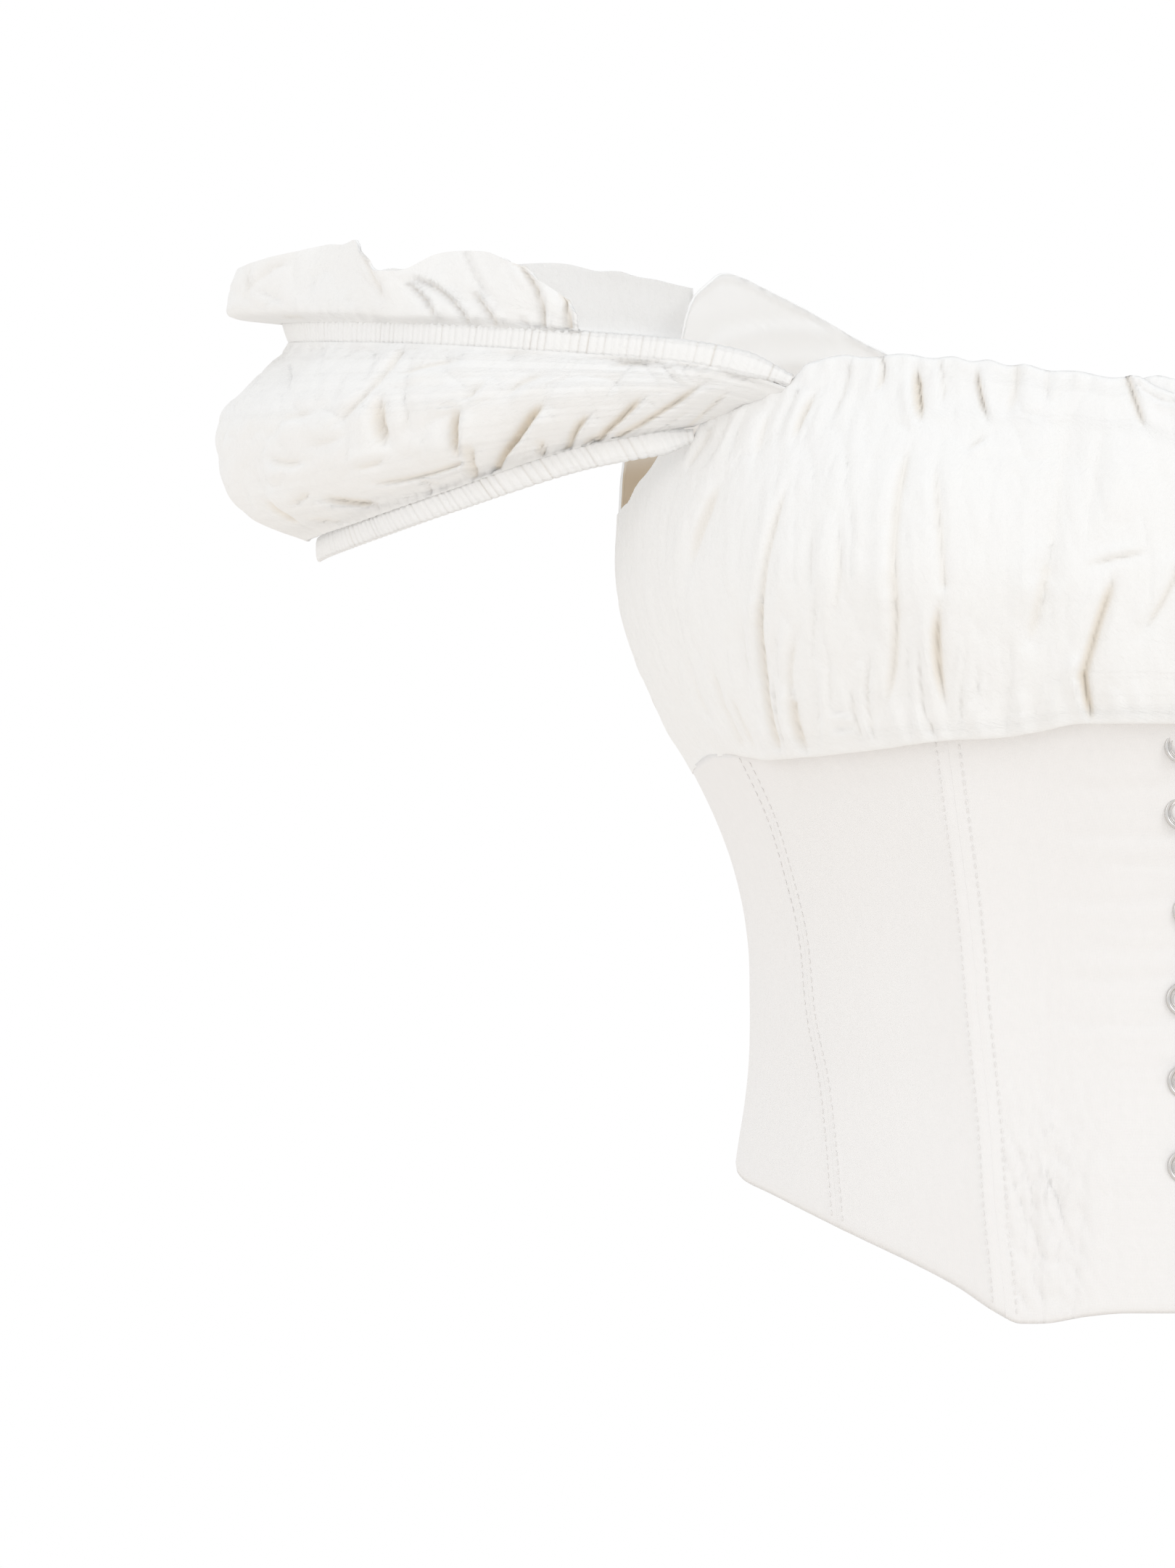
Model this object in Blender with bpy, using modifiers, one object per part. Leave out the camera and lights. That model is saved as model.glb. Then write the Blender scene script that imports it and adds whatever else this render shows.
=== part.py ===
"""Off-the-shoulder bustier top, filled out as it is worn.

A gathered bust and elasticated puff sleeves stand on a seamed corset that laps at the centre
front and closes with six ring snaps. Metres, +Z up. X runs to the wearer's left, the front faces
-Y, and the origin is the middle of the waist. Angles turn round the body from the centre front:
0 is the front, 90 the wearer's left side, -90 the right side and 180 the centre back.
"""
import math
from collections import namedtuple

import bmesh
import bpy
import numpy as np
from mathutils import Vector

COLLECTION_NAME = "bustier_top"
SIDES = {"right": -1, "left": 1}

CORSET_WALL = 0.0014
GAUZE_WALL = 0.0012
SEAM_GAP = 0.0004
UP = Vector((0.0, 0.0, 1.0))

# The figure, as the outer face of the cloth on it: height, half width in front of the side seam,
# half width behind it, front depth, back depth
FIGURE = [
    (-0.100, 0.1300, 0.1300, 0.0930, 0.0950),
    (-0.055, 0.1265, 0.1265, 0.0905, 0.0915),
    (-0.025, 0.1224, 0.1224, 0.0872, 0.0875),
    (0.000, 0.1220, 0.1220, 0.0865, 0.0860),
    (0.030, 0.1262, 0.1262, 0.0895, 0.0870),
    (0.057, 0.1373, 0.1373, 0.0960, 0.0885),
    (0.072, 0.1465, 0.1465, 0.1020, 0.0895),
    (0.092, 0.1550, 0.1550, 0.1090, 0.0900),
    (0.116, 0.1592, 0.1592, 0.1140, 0.0905),
    (0.135, 0.1580, 0.1594, 0.1130, 0.0905),
    (0.152, 0.1535, 0.1594, 0.1080, 0.0900),
    (0.170, 0.1505, 0.1586, 0.1015, 0.0890),
    (0.190, 0.1505, 0.1580, 0.0980, 0.0885),
    (0.205, 0.1505, 0.1585, 0.0970, 0.0880),
]
# How square the cross-section is: 2 is an ellipse
FRONT_ROUNDNESS = 2.4
BACK_ROUNDNESS = 2.8

# Each cup: how far it stands out, where its middle is, and how far it spreads
CUP_RISE = 0.012
CUP_X, CUP_Z = 0.080, 0.116
CUP_SPREAD_X, CUP_SPREAD_Z = 0.048, 0.036
# Cups and ridges fade out over this many degrees before the side seam
SIDE_FADE = 10.0

# The seam between front centre and front side: height, x
PRINCESS_SEAM = [
    (-0.100, 0.0470),
    (-0.080, 0.0486),
    (-0.061, 0.0505),
    (-0.038, 0.0520),
    (-0.010, 0.0548),
    (0.016, 0.0570),
    (0.041, 0.0600),
    (0.075, 0.0650),
]
# How far out its ridge stands, how wide it is, and the heights over which it fades
PRINCESS_RISE, PRINCESS_REACH = 0.0055, 0.022
PRINCESS_FADE = (0.040, 0.085)

# The seam between front side and side: height, x
SIDE_FRONT_SEAM = [
    (-0.090, 0.0925),
    (-0.062, 0.0950),
    (-0.041, 0.0970),
    (-0.026, 0.0989),
    (-0.010, 0.1023),
    (0.0145, 0.1050),
    (0.031, 0.1090),
    (0.046, 0.1135),
    (0.064, 0.1215),
]
SIDE_BACK_ANGLE = 100.0

# The seam between back side and back centre: height, x
BACK_SEAM = [(-0.090, 0.0600), (0.000, 0.0520), (0.070, 0.0640)]

# The corset's lower edge: angle, height
HEM = [
    (0.0, -0.0889),
    (4.2, -0.0889),
    (8.6, -0.0899),
    (12.6, -0.0917),
    (15.8, -0.0919),
    (18.9, -0.0888),
    (24.5, -0.0818),
    (39.0, -0.0703),
    (59.9, -0.0592),
    (75.0, -0.0553),
    (90.0, -0.0522),
    (120.0, -0.0550),
    (180.0, -0.0600),
]
HEM_HEIGHT, SEAM_HEIGHT = -0.07, 0.065

# The underbust seam: angle, height
UNDERBUST = [
    (0.0, 0.0728),
    (7.5, 0.0728),
    (11.5, 0.0708),
    (15.0, 0.0692),
    (22.0, 0.0682),
    (32.0, 0.0655),
    (48.0, 0.0630),
    (60.0, 0.0625),
    (66.0, 0.0622),
    (75.0, 0.0598),
    (90.0, 0.0575),
    (120.0, 0.0600),
    (180.0, 0.0620),
]

# The neckline and the armhole's front edge: angle, height
FRONT_TOP = [
    (0.0, 0.1655),
    (5.0, 0.1658),
    (12.7, 0.1687),
    (17.4, 0.1703),
    (27.6, 0.1720),
    (36.5, 0.1720),
    (39.5, 0.1695),
    (42.0, 0.1655),
    (45.0, 0.1625),
    (50.0, 0.1590),
    (55.5, 0.1562),
    (59.0, 0.1515),
    (65.5, 0.1485),
    (68.6, 0.1460),
    (71.3, 0.1395),
    (75.5, 0.1352),
    (83.7, 0.1315),
    (90.0, 0.1308),
]

# The armhole's back edge and the back neckline: angle, height
BACK_TOP = [
    (90.0, 0.1310),
    (91.5, 0.1375),
    (93.5, 0.1445),
    (97.0, 0.1495),
    (105.0, 0.1520),
    (111.0, 0.1550),
    (114.5, 0.1620),
    (116.5, 0.1730),
    (118.0, 0.1840),
    (119.5, 0.1905),
    (121.5, 0.1950),
    (124.2, 0.1985),
    (128.8, 0.2020),
    (134.0, 0.1997),
    (155.2, 0.1790),
    (165.1, 0.1685),
    (174.4, 0.1605),
    (180.0, 0.1590),
]

# A seam slopes, so an edge's height and its angle are found together in this many steps
EDGE_STEPS = 12

# The centre front: the wearer's right laps over the left. How far each runs past the middle,
# where the upper layer starts to lift, over what width, and how far it lifts
LAP_HALF = 0.012
LAP_START, LAP_EASE = 0.016, 0.006
CORSET_LIFT = 0.0019
BUST_LIFT = 0.0022
# The upper layer's neckline slants down to its edge
LAP_NECK_DROP, LAP_NECK_START = 0.0110, 0.016
# Columns across a front centre panel, as shares from its princess seam, closer at the lap
CENTRE_COLUMNS = [0, 0.13, 0.26, 0.38, 0.48, 0.56, 0.63, 0.71, 0.82, 0.91, 1]
CORSET_ROWS = 8

# How the bust cloth leaves the underbust seam and hangs over it: out, up
ROLL = [
    (-0.0009, 0.0004),
    (0.0010, 0.0003),
    (0.0030, -0.0013),
    (0.0048, 0.0006),
    (0.0054, 0.0060),
]
# The same rows' heights where the cloth runs straight up, and the angles between the two
ROLL_PLAIN_UP = [0.0004, 0.0015, 0.0030, 0.0048, 0.0075]
ROLL_FADE = (48.0, 65.0)
# The roll starts this far from the lap on the lower layer, and is flat at the upper one's edge
ROLL_LAP_EASE = 0.014
ROLL_LAP_FLAT = (-0.030, -0.022)

# How far the blousing stands out above the roll: height above the seam, out
BLOUSE = [(0.006, 0.0054), (0.016, 0.0044), (0.030, 0.0024), (0.048, 0.0006), (0.060, 0.0)]
BUST_ROWS_ABOVE = 7
BUST_COLUMNS = 48

# A valley runs from one x at the underbust to another at the neckline, over a share of the height
Valley = namedtuple("Valley", "x_low x_high start end depth width")
FRONT_VALLEYS = [
    Valley(0.0250, 0.0185, -0.2, 0.42, 0.0055, 0.0052),
    Valley(0.0440, 0.0250, 0.20, 0.98, 0.0045, 0.0095),
    Valley(0.0540, 0.0560, 0.60, 1.20, 0.0034, 0.0052),
    Valley(0.0640, 0.0655, -0.2, 0.40, 0.0056, 0.0048),
    Valley(0.0790, 0.0705, 0.10, 1.20, 0.0040, 0.0062),
    Valley(0.0850, 0.0850, 0.68, 1.20, 0.0030, 0.0050),
    Valley(0.0920, 0.0900, -0.2, 0.55, 0.0032, 0.0055),
    Valley(0.1040, 0.1010, -0.2, 0.35, 0.0034, 0.0050),
    Valley(0.1145, 0.1000, -0.2, 1.20, 0.0045, 0.0055),
    Valley(0.1200, 0.1150, 0.45, 1.20, 0.0030, 0.0050),
    Valley(0.1240, 0.1330, -0.2, 0.50, 0.0026, 0.0050),
    Valley(0.1340, 0.1440, -0.2, 0.45, 0.0018, 0.0045),
]
FOLD_TAPER = 0.18
# The left side's folds wander from the mirror of the right's by this much, over this width
LEFT_SHIFT, LEFT_SHIFT_WIDTH = 0.0025, 0.018
# Folds leave the lap flat, start above the seam and fade out at the side
FOLD_CLEAR_X = (0.014, 0.026)
FOLD_CLEAR_UP = 0.003
FOLD_SIDE_FADE = (90.0, 80.0)
# Small gathers along the neckline: how many a side, over what width, how deep, and their heights
NECK_GATHERS, NECK_GATHER_SPAN, NECK_GATHER_RISE = 9, 0.115, 0.0010
NECK_GATHER_EASE = (0.75, 0.95)

# The back's gathers along its elasticated neckline: they fade down the cloth and to both sides
BACK_GATHERS, BACK_GATHER_RISE = 14, 0.0011
BACK_GATHER_HALF_ANGLE, BACK_GATHER_FADE = 52.0, 12.0
BACK_GATHER_EASE = (0.3, 0.95)
BACK_COLUMNS = 44
BACK_ROWS = [0, 0.1, 0.25, 0.42, 0.6, 0.76, 0.9, 1]

# Half the gap of the bust's side seams, as an angle
SIDE_SEAM_INSET = math.degrees(SEAM_GAP / 2 / 0.159)

# Which way the flat sides of a band face is found from points this share of its length away
BAND_STEP = 0.004

# A sleeve band lies on an oval: its middle and reaches, and the angles it starts and ends at.
# Its ends are pulled to their seats, each an angle and a height on the figure.
Band = namedtuple("Band", "middle out front back start end pull front_seat back_seat")
TOP_BAND = Band(0.135, 0.116, 0.083, 0.068, -103.0, 86.0, 0.16, (40.8, 0.1655), (121.0, 0.1790))
HEM_BAND = Band(0.138, 0.1055, 0.070, 0.056, -93.0, 88.0, 0.14, (56.5, 0.1510), (118.5, 0.1570))
SEAT_OUT = 0.0019
BAND_HALF_HEIGHT = {"top": 0.0034, "hem": 0.0030}
BAND_RIDGES = {"top": 26, "hem": 22}
BAND_RIDGE_RISE = 0.0004
# A band's section: how far its back, its rounded edges and its face stand from its middle line
BAND_BACK, BAND_EDGE, BAND_FACE = -0.0010, 0.0006, 0.0016
BAND_BACK_INSET = 0.0003

# The top band's height on its way from the bust to the back: share of the way, height
TOP_BAND_HEIGHT = [
    (0.00, 0.1655),
    (0.02, 0.1685),
    (0.045, 0.1712),
    (0.08, 0.1735),
    (0.14, 0.1756),
    (0.27, 0.1790),
    (0.45, 0.1814),
    (0.55, 0.1820),
    (0.70, 0.1815),
    (0.85, 0.1805),
    (1.00, 0.1790),
]

# The hem band slopes down away from the body: x, height
HEM_BAND_HEIGHT = [
    (0.130, 0.1510),
    (0.139, 0.1498),
    (0.167, 0.1450),
    (0.205, 0.1330),
    (0.2425, 0.1214),
    (0.250, 0.1195),
]
HEM_BAND_BACK_RISE = 0.006

# The puff's swell: share of the way round, out
PUFF_SWELL = [
    (0.0, 0.0),
    (0.08, 0.004),
    (0.20, 0.011),
    (0.40, 0.0190),
    (0.55, 0.0247),
    (0.70, 0.0190),
    (0.88, 0.010),
    (0.95, 0.004),
    (1.0, 0.0),
]
# How much of the swell shows: share of the height, share of the swell
PUFF_PROFILE = [
    (0.0, 0.0),
    (0.07, 0.65),
    (0.15, 0.86),
    (0.22, 0.96),
    (0.30, 1.02),
    (0.47, 1.05),
    (0.62, 0.96),
    (0.70, 0.83),
    (0.77, 0.63),
    (0.84, 0.43),
    (0.92, 0.19),
    (1.0, 0.0),
]
# Gathers round the puff, uneven in pitch: how many, how deep, how far they wander and how often
PUFF_GATHERS, PUFF_GATHER_RISE = 13, 0.0030
PUFF_WANDER, PUFF_WANDERS = 1.3, 9.0
PUFF_END_FADE = 0.08
# Their depth: share of the height, share of the depth
PUFF_GATHER_SHARE = [(0.0, 0.1), (0.1, 0.8), (0.25, 1.0), (0.5, 0.6), (0.75, 0.5), (0.9, 0.6),
                     (1.0, 0.1)]
PUFF_GAP = 0.0008
# Columns crowd towards the bust, where the folds are closest
PUFF_COLUMNS, PUFF_CROWDING = 52, 1.2
PUFF_ROWS = [0, 0.07, 0.18, 0.34, 0.54, 0.74, 0.9, 1]

# The ruffle above the top band: share of the way round, height, lean outwards at its edge
RUFFLE_SHAPE = [
    (0.15, 0.0040, 0.0005),
    (0.17, 0.0110, 0.0010),
    (0.20, 0.0170, 0.0015),
    (0.226, 0.0205, 0.0020),
    (0.26, 0.0190, 0.0020),
    (0.29, 0.0150, 0.0025),
    (0.313, 0.0130, 0.0030),
    (0.347, 0.0215, 0.0030),
    (0.40, 0.0200, 0.0040),
    (0.45, 0.0175, 0.0080),
    (0.50, 0.0125, 0.0150),
    (0.56, 0.0115, 0.0158),
    (0.62, 0.0150, 0.0090),
    (0.70, 0.0150, 0.0040),
    (0.78, 0.0190, 0.0040),
    (0.88, 0.0212, 0.0045),
    (0.95, 0.0190, 0.0055),
    (1.00, 0.0150, 0.0065),
]
RUFFLE_START = 0.15
RUFFLE_COLUMNS = 36
# Its rows: share of the height, share of the lean
RUFFLE_ROWS = [(0.0, 0.0), (0.06, 0.85), (0.5, 0.97), (1.0, 1.0)]
# Its waves: how many, how deep, how they fade at both ends, and how much calmer the back's are
RUFFLE_WAVES, RUFFLE_WAVE_RISE = 7, 0.0026
RUFFLE_END_FADE = (0.05, 0.08)
RUFFLE_CALM, RUFFLE_CALM_SPAN = 0.35, (0.58, 0.72)

# Ring snaps on the centre front: height, x
RINGS = [
    (0.0653, -0.0007),
    (0.0472, -0.0007),
    (0.0205, 0.0015),
    (-0.0035, -0.0003),
    (-0.0259, 0.0001),
    (-0.0490, 0.0001),
]
RING_OUTER, RING_HOLE = 0.0094, 0.0057
RING_SEAT = 0.0007
RING_REACH = 0.004

# Each material's colour, roughness and metallic value
COLOURS = {
    "corset_cotton": ((0.90, 0.885, 0.875), 0.85, 0.0),
    "crinkled_cotton": ((0.91, 0.90, 0.885), 0.9, 0.0),
    "silver_metal": ((0.78, 0.77, 0.75), 0.28, 1.0),
}


def read(table, at):
    """The values of a table's row at any key, on one smooth curve through its rows."""
    rows = np.array(table)
    keys, values = rows[:, 0], rows[:, 1:]
    steps = np.diff(values, axis=0) / np.diff(keys)[:, None]
    slopes = np.vstack([steps[:1], (steps[:-1] + steps[1:]) / 2, steps[-1:]])
    slopes[1:-1][steps[:-1] * steps[1:] <= 0] = 0.0
    at = min(max(at, keys[0]), keys[-1])
    k = min(int(np.searchsorted(keys, at, side="right")) - 1, len(keys) - 2)
    span = keys[k + 1] - keys[k]
    t = (at - keys[k]) / span
    start, end = values[k], values[k + 1]
    curve = start * (1 + 2 * t) * (1 - t) ** 2 + end * t * t * (3 - 2 * t)
    curve = curve + span * (slopes[k] * t * (1 - t) ** 2 + slopes[k + 1] * t * t * (t - 1))
    return [float(value) for value in curve]


def mix(a, b, share):
    return a + (b - a) * share


def ease(low, high, at):
    """A soft step from 0 at low to 1 at high, which may be the smaller of the two."""
    t = min(max((at - low) / (high - low), 0.0), 1.0)
    return t * t * (3 - 2 * t)


def hill(distance, spread):
    return math.exp(-(distance / spread) ** 2)


def outline(angle, z):
    """A point of the figure's cross-section and the level direction out of it there."""
    front_half, back_half, front, back = read(FIGURE, z)
    turn = math.radians(abs(angle))
    ahead = turn < math.pi / 2
    half = front_half if ahead else back_half
    power = FRONT_ROUNDNESS if ahead else BACK_ROUNDNESS
    depth = front if ahead else back
    across = abs(math.sin(turn)) ** (2 / power)
    along = abs(math.cos(turn)) ** (2 / power)
    side = -1.0 if angle < 0 else 1.0
    facing = -1.0 if ahead else 1.0
    out = Vector((side * across ** (power - 1) / half, facing * along ** (power - 1) / depth, 0.0))
    return Vector((side * half * across, facing * depth * along, z)), out.normalized()


def angle_at(x, z, behind=False):
    """The angle at which the figure's cross-section has this x."""
    half = read(FIGURE, z)[1 if behind else 0]
    power = BACK_ROUNDNESS if behind else FRONT_ROUNDNESS
    turn = math.degrees(math.asin(min(abs(x) / half, 1.0) ** (power / 2)))
    turn = 180.0 - turn if behind else turn
    return math.copysign(turn, x)


def figure(angle, z, out=0.0):
    """A point of the figure with its cups and seam ridges, moved out by a distance."""
    point, away = outline(angle, z)
    if abs(angle) < 90:
        x = abs(point.x)
        cup = CUP_RISE * hill(x - CUP_X, CUP_SPREAD_X) * hill(z - CUP_Z, CUP_SPREAD_Z)
        seam = abs(x - read(PRINCESS_SEAM, z)[0])
        ridge = PRINCESS_RISE * math.exp(-seam / PRINCESS_REACH)
        fade = ease(0.0, SIDE_FADE, 90 - abs(angle))
        out += (cup + ridge * (1 - ease(*PRINCESS_FADE, z))) * fade
    return point + away * out


def collection():
    found = bpy.data.collections.get(COLLECTION_NAME)
    if found is None:
        found = bpy.data.collections.new(COLLECTION_NAME)
        bpy.context.scene.collection.children.link(found)
    return found


def material(name):
    """A Principled material with the part's colour, roughness and metallic value."""
    made = bpy.data.materials.get(name)
    if made is None:
        colour, roughness, metallic = COLOURS[name]
        made = bpy.data.materials.new(name)
        made.use_nodes = True
        shader = made.node_tree.nodes["Principled BSDF"]
        shader.inputs["Base Color"].default_value = (*colour, 1.0)
        shader.inputs["Roughness"].default_value = roughness
        shader.inputs["Metallic"].default_value = metallic
    return made


def add_object(name, mesh, slot):
    made = bpy.data.objects.new(name, mesh)
    made.data.materials.append(material(slot))
    for face in made.data.polygons:
        face.use_smooth = True
    collection().objects.link(made)
    return made


def cloth(name, columns, rows, place, slot, wall, outwards):
    """A wall of cloth: a grid laid on a surface, place(u, v), and given its thickness.

    columns and rows are the shares u and v at which the grid's lines lie.
    """
    bm = bmesh.new()
    bmesh.ops.create_grid(bm, x_segments=len(columns) - 1, y_segments=len(rows) - 1, size=1.0)
    for vert in bm.verts:
        across = round((vert.co.x + 1) / 2 * (len(columns) - 1))
        upward = round((vert.co.y + 1) / 2 * (len(rows) - 1))
        vert.co = place(columns[across], rows[upward])
    mesh = bpy.data.meshes.new(name)
    bm.to_mesh(mesh)
    bm.free()
    made = add_object(name, mesh, slot)
    solidify = made.modifiers.new("wall", "SOLIDIFY")
    solidify.thickness = wall
    solidify.offset = 1.0 if outwards else -1.0
    return made


def shares(count):
    return [k / count for k in range(count + 1)]


def even_angles(start, end, count, z):
    """Angles that part the figure's cross-section into stretches of equal length."""
    turns = np.linspace(start, end, 40 * count + 1)
    points = np.array([outline(wrapped(turn), z)[0] for turn in turns])
    run = np.concatenate([[0.0], np.cumsum(np.linalg.norm(np.diff(points, axis=0), axis=1))])
    return [float(turn) for turn in np.interp(np.linspace(0, run[-1], count + 1), run, turns)]


def between(start, end):
    """The angle a share of the way between two seams, clear of both by half a seam gap."""
    def angle(z, u):
        inset = math.degrees(SEAM_GAP / 2 / read(FIGURE, z)[0])
        return wrapped(mix(start(z) + inset, end(z) - inset, u))
    return angle


def wrapped(angle):
    """The same direction as an angle between -180 and 180."""
    return angle - 360 if angle > 180 else angle


def seam_angle(table, side, behind=False):
    return lambda z: side * abs(angle_at(read(table, z)[0], z, behind))


def corset_panel(name, start, end, columns, rows, lift=None):
    """One corset panel, from the underbust seam down to the hem, between two seams."""
    angle = between(start, end)

    def place(u, v):
        z_hem, z_top = HEM_HEIGHT, SEAM_HEIGHT
        for _ in range(EDGE_STEPS):
            z_hem = read(HEM, abs(angle(z_hem, u)))[0]
            z_top = read(UNDERBUST, abs(angle(z_top, u)))[0]
        z = mix(z_hem, z_top, v)
        turn = angle(z, u)
        raised = lift(outline(turn, z)[0].x) if lift else 0.0
        return figure(turn, z, raised - CORSET_WALL)

    return cloth(name, columns, rows, place, "corset_cotton", CORSET_WALL, True)


def lap_edge(side):
    """The centre front edge of one side's panels: each runs past the centre, under or over."""
    return lambda z: angle_at(-side * LAP_HALF, z)


def lapping(x, lift):
    """How far the upper layer is lifted off the lower one."""
    return lift * ease(-LAP_START - LAP_EASE, -LAP_START, x)


def make_corset():
    rows = shares(CORSET_ROWS)
    princess = {side: seam_angle(PRINCESS_SEAM, sign) for side, sign in SIDES.items()}
    flank = {side: seam_angle(SIDE_FRONT_SEAM, sign) for side, sign in SIDES.items()}
    rear = {side: seam_angle(BACK_SEAM, sign, behind=True) for side, sign in SIDES.items()}
    corset_panel("front_centre_right", princess["right"], lap_edge(-1), CENTRE_COLUMNS, rows,
                 lambda x: lapping(x, CORSET_LIFT))
    corset_panel("front_centre_left", lap_edge(1), princess["left"],
                 [1 - u for u in reversed(CENTRE_COLUMNS)], rows)
    for side, sign in SIDES.items():
        def corner(z, sign=sign):
            return sign * SIDE_BACK_ANGLE

        pieces = [
            ("front_side", princess[side], flank[side], 5),
            ("side", flank[side], corner, 6),
            ("back_side", corner, rear[side], 4),
        ]
        for name, inner, outer, columns in pieces:
            start, end = (inner, outer) if sign > 0 else (outer, inner)
            corset_panel(f"{name}_{side}", start, end, shares(columns), rows)
    corset_panel("back_centre", rear["left"], lambda z: 360 + rear["right"](z), shares(8), rows)


def front_relief(side, x, v):
    """The depth of the bust's folds and neckline gathers at a place on one side."""
    across = abs(x)
    if side > 0:
        across += LEFT_SHIFT * math.sin(across / LEFT_SHIFT_WIDTH)
    depth = 0.0
    for fold in FRONT_VALLEYS:
        middle = mix(fold.x_low, fold.x_high, v)
        length = ease(fold.start, fold.start + FOLD_TAPER, v)
        length *= 1 - ease(fold.end - FOLD_TAPER, fold.end, v)
        depth += fold.depth * length * hill(across - middle, fold.width)
    gather = math.cos(2 * math.pi * across * NECK_GATHERS / NECK_GATHER_SPAN)
    return depth - NECK_GATHER_RISE * ease(*NECK_GATHER_EASE, v) * gather


def make_bust_front(side):
    """One front half of the bust: a roll over the underbust seam, then the gathered cloth."""
    sign = SIDES[side]
    over = sign < 0
    rows = shares(len(ROLL) + BUST_ROWS_ABOVE - 1)
    ends = sorted([angle_at(-sign * LAP_HALF, CUP_Z), sign * (90.0 - SIDE_SEAM_INSET)])
    turns = even_angles(*ends, BUST_COLUMNS, CUP_Z)

    def place(turn, v):
        row = round(v * (len(rows) - 1))
        x_front = outline(turn, CUP_Z)[0].x
        z_seam = read(UNDERBUST, abs(turn))[0]
        z_top = read(FRONT_TOP, abs(turn))[0]
        hang = 1 - ease(*ROLL_FADE, abs(turn))
        if over:
            z_top -= LAP_NECK_DROP * ease(-LAP_NECK_START, LAP_HALF, x_front)
        else:
            hang *= ease(LAP_START, LAP_START + ROLL_LAP_EASE, x_front)
        if row < len(ROLL):
            out, up = ROLL[row]
            out, up = out * hang, mix(ROLL_PLAIN_UP[row], up, hang)
            if over:
                up = mix(up, max(up, SEAM_GAP), ease(*ROLL_LAP_FLAT, x_front))
        else:
            height = (row - len(ROLL) + 1) / BUST_ROWS_ABOVE
            up = mix(mix(ROLL_PLAIN_UP[-1], ROLL[-1][1], hang), z_top - z_seam, height)
            out = read(BLOUSE, up)[0] * hang
        z = z_seam + up
        valley = front_relief(sign, outline(turn, z)[0].x, up / (z_top - z_seam))
        valley *= ease(*FOLD_CLEAR_X, abs(x_front)) * ease(0.0, FOLD_CLEAR_UP, up)
        valley *= ease(*FOLD_SIDE_FADE, abs(turn))
        raised = lapping(x_front, BUST_LIFT) if over else 0.0
        return figure(turn, z, out + raised - valley)

    cloth(f"bust_front_{side}", turns, rows, place, "crinkled_cotton", GAUZE_WALL, False)


def make_bust_back():
    first = 90.0 + SIDE_SEAM_INSET
    turns = even_angles(first, 360.0 - first, BACK_COLUMNS, CUP_Z)

    def place(turn, v):
        turn = wrapped(turn)
        z_seam = read(UNDERBUST, abs(turn))[0] + SEAM_GAP
        z = mix(z_seam, read(BACK_TOP, abs(turn))[0], v)
        off_centre = 180.0 - abs(turn)
        wave = math.cos(math.pi * BACK_GATHERS * off_centre / BACK_GATHER_HALF_ANGLE / 2) - 1
        wave *= 1 - ease(BACK_GATHER_HALF_ANGLE - BACK_GATHER_FADE, BACK_GATHER_HALF_ANGLE,
                         off_centre)
        return figure(turn, z, BACK_GATHER_RISE * wave * ease(*BACK_GATHER_EASE, v))

    cloth("bust_back", turns, BACK_ROWS, place, "crinkled_cotton", GAUZE_WALL, False)


def band_point(kind, s, side):
    """A point on the middle line of a sleeve band, from the bust (0) round to the back (1)."""
    band = TOP_BAND if kind == "top" else HEM_BAND

    def on_oval(share):
        turn = math.radians(mix(band.start, band.end, share))
        reach = band.front if turn < 0 else band.back
        x = band.middle + band.out * math.cos(turn)
        if kind == "top":
            z = read(TOP_BAND_HEIGHT, share)[0]
        else:
            z = read(HEM_BAND_HEIGHT, x)[0] + HEM_BAND_BACK_RISE * max(0.0, math.sin(turn))
        return Vector((x, reach * math.sin(turn), z))

    point = on_oval(s)
    for share, seat in ((0.0, band.front_seat), (1.0, band.back_seat)):
        pull = max(0.0, 1 - abs(s - share) / band.pull) ** 2
        point += (figure(*seat, SEAT_OUT) - on_oval(share)) * pull
    return Vector((side * point.x, point.y, point.z))


def band_frame(kind, s, side):
    """The band's point, the level direction out of the sleeve, and its own upward direction."""
    ahead = band_point(kind, min(s + BAND_STEP, 1), side)
    along = (ahead - band_point(kind, max(s - BAND_STEP, 0), side)).normalized()
    out = along.cross(UP).normalized() * side
    return band_point(kind, s, side), out, out.cross(along).normalized() * side


def make_puff(side):
    sign = SIDES[side]

    def place(u, v):
        s = (u if sign > 0 else 1 - u) ** PUFF_CROWDING
        top, out_top, rise = band_frame("top", s, sign)
        low, out_low, lift = band_frame("hem", s, sign)
        top = top - rise * (BAND_HALF_HEIGHT["top"] + PUFF_GAP)
        low = low + lift * (BAND_HALF_HEIGHT["hem"] + PUFF_GAP)
        out = out_low.lerp(out_top, v).normalized()
        swell = read(PUFF_SWELL, s)[0]
        wander = PUFF_WANDER * math.sin(PUFF_WANDERS * s)
        gathered = math.cos(2 * math.pi * PUFF_GATHERS * s + wander)
        strength = read(PUFF_GATHER_SHARE, v)[0] * ease(0.0, PUFF_END_FADE, min(s, 1 - s))
        wave = PUFF_GATHER_RISE * gathered * strength
        return low.lerp(top, v) + out * (swell * read(PUFF_PROFILE, v)[0] + wave)

    cloth(f"sleeve_puff_{side}", shares(PUFF_COLUMNS), PUFF_ROWS, place, "crinkled_cotton",
          GAUZE_WALL, False)


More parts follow.
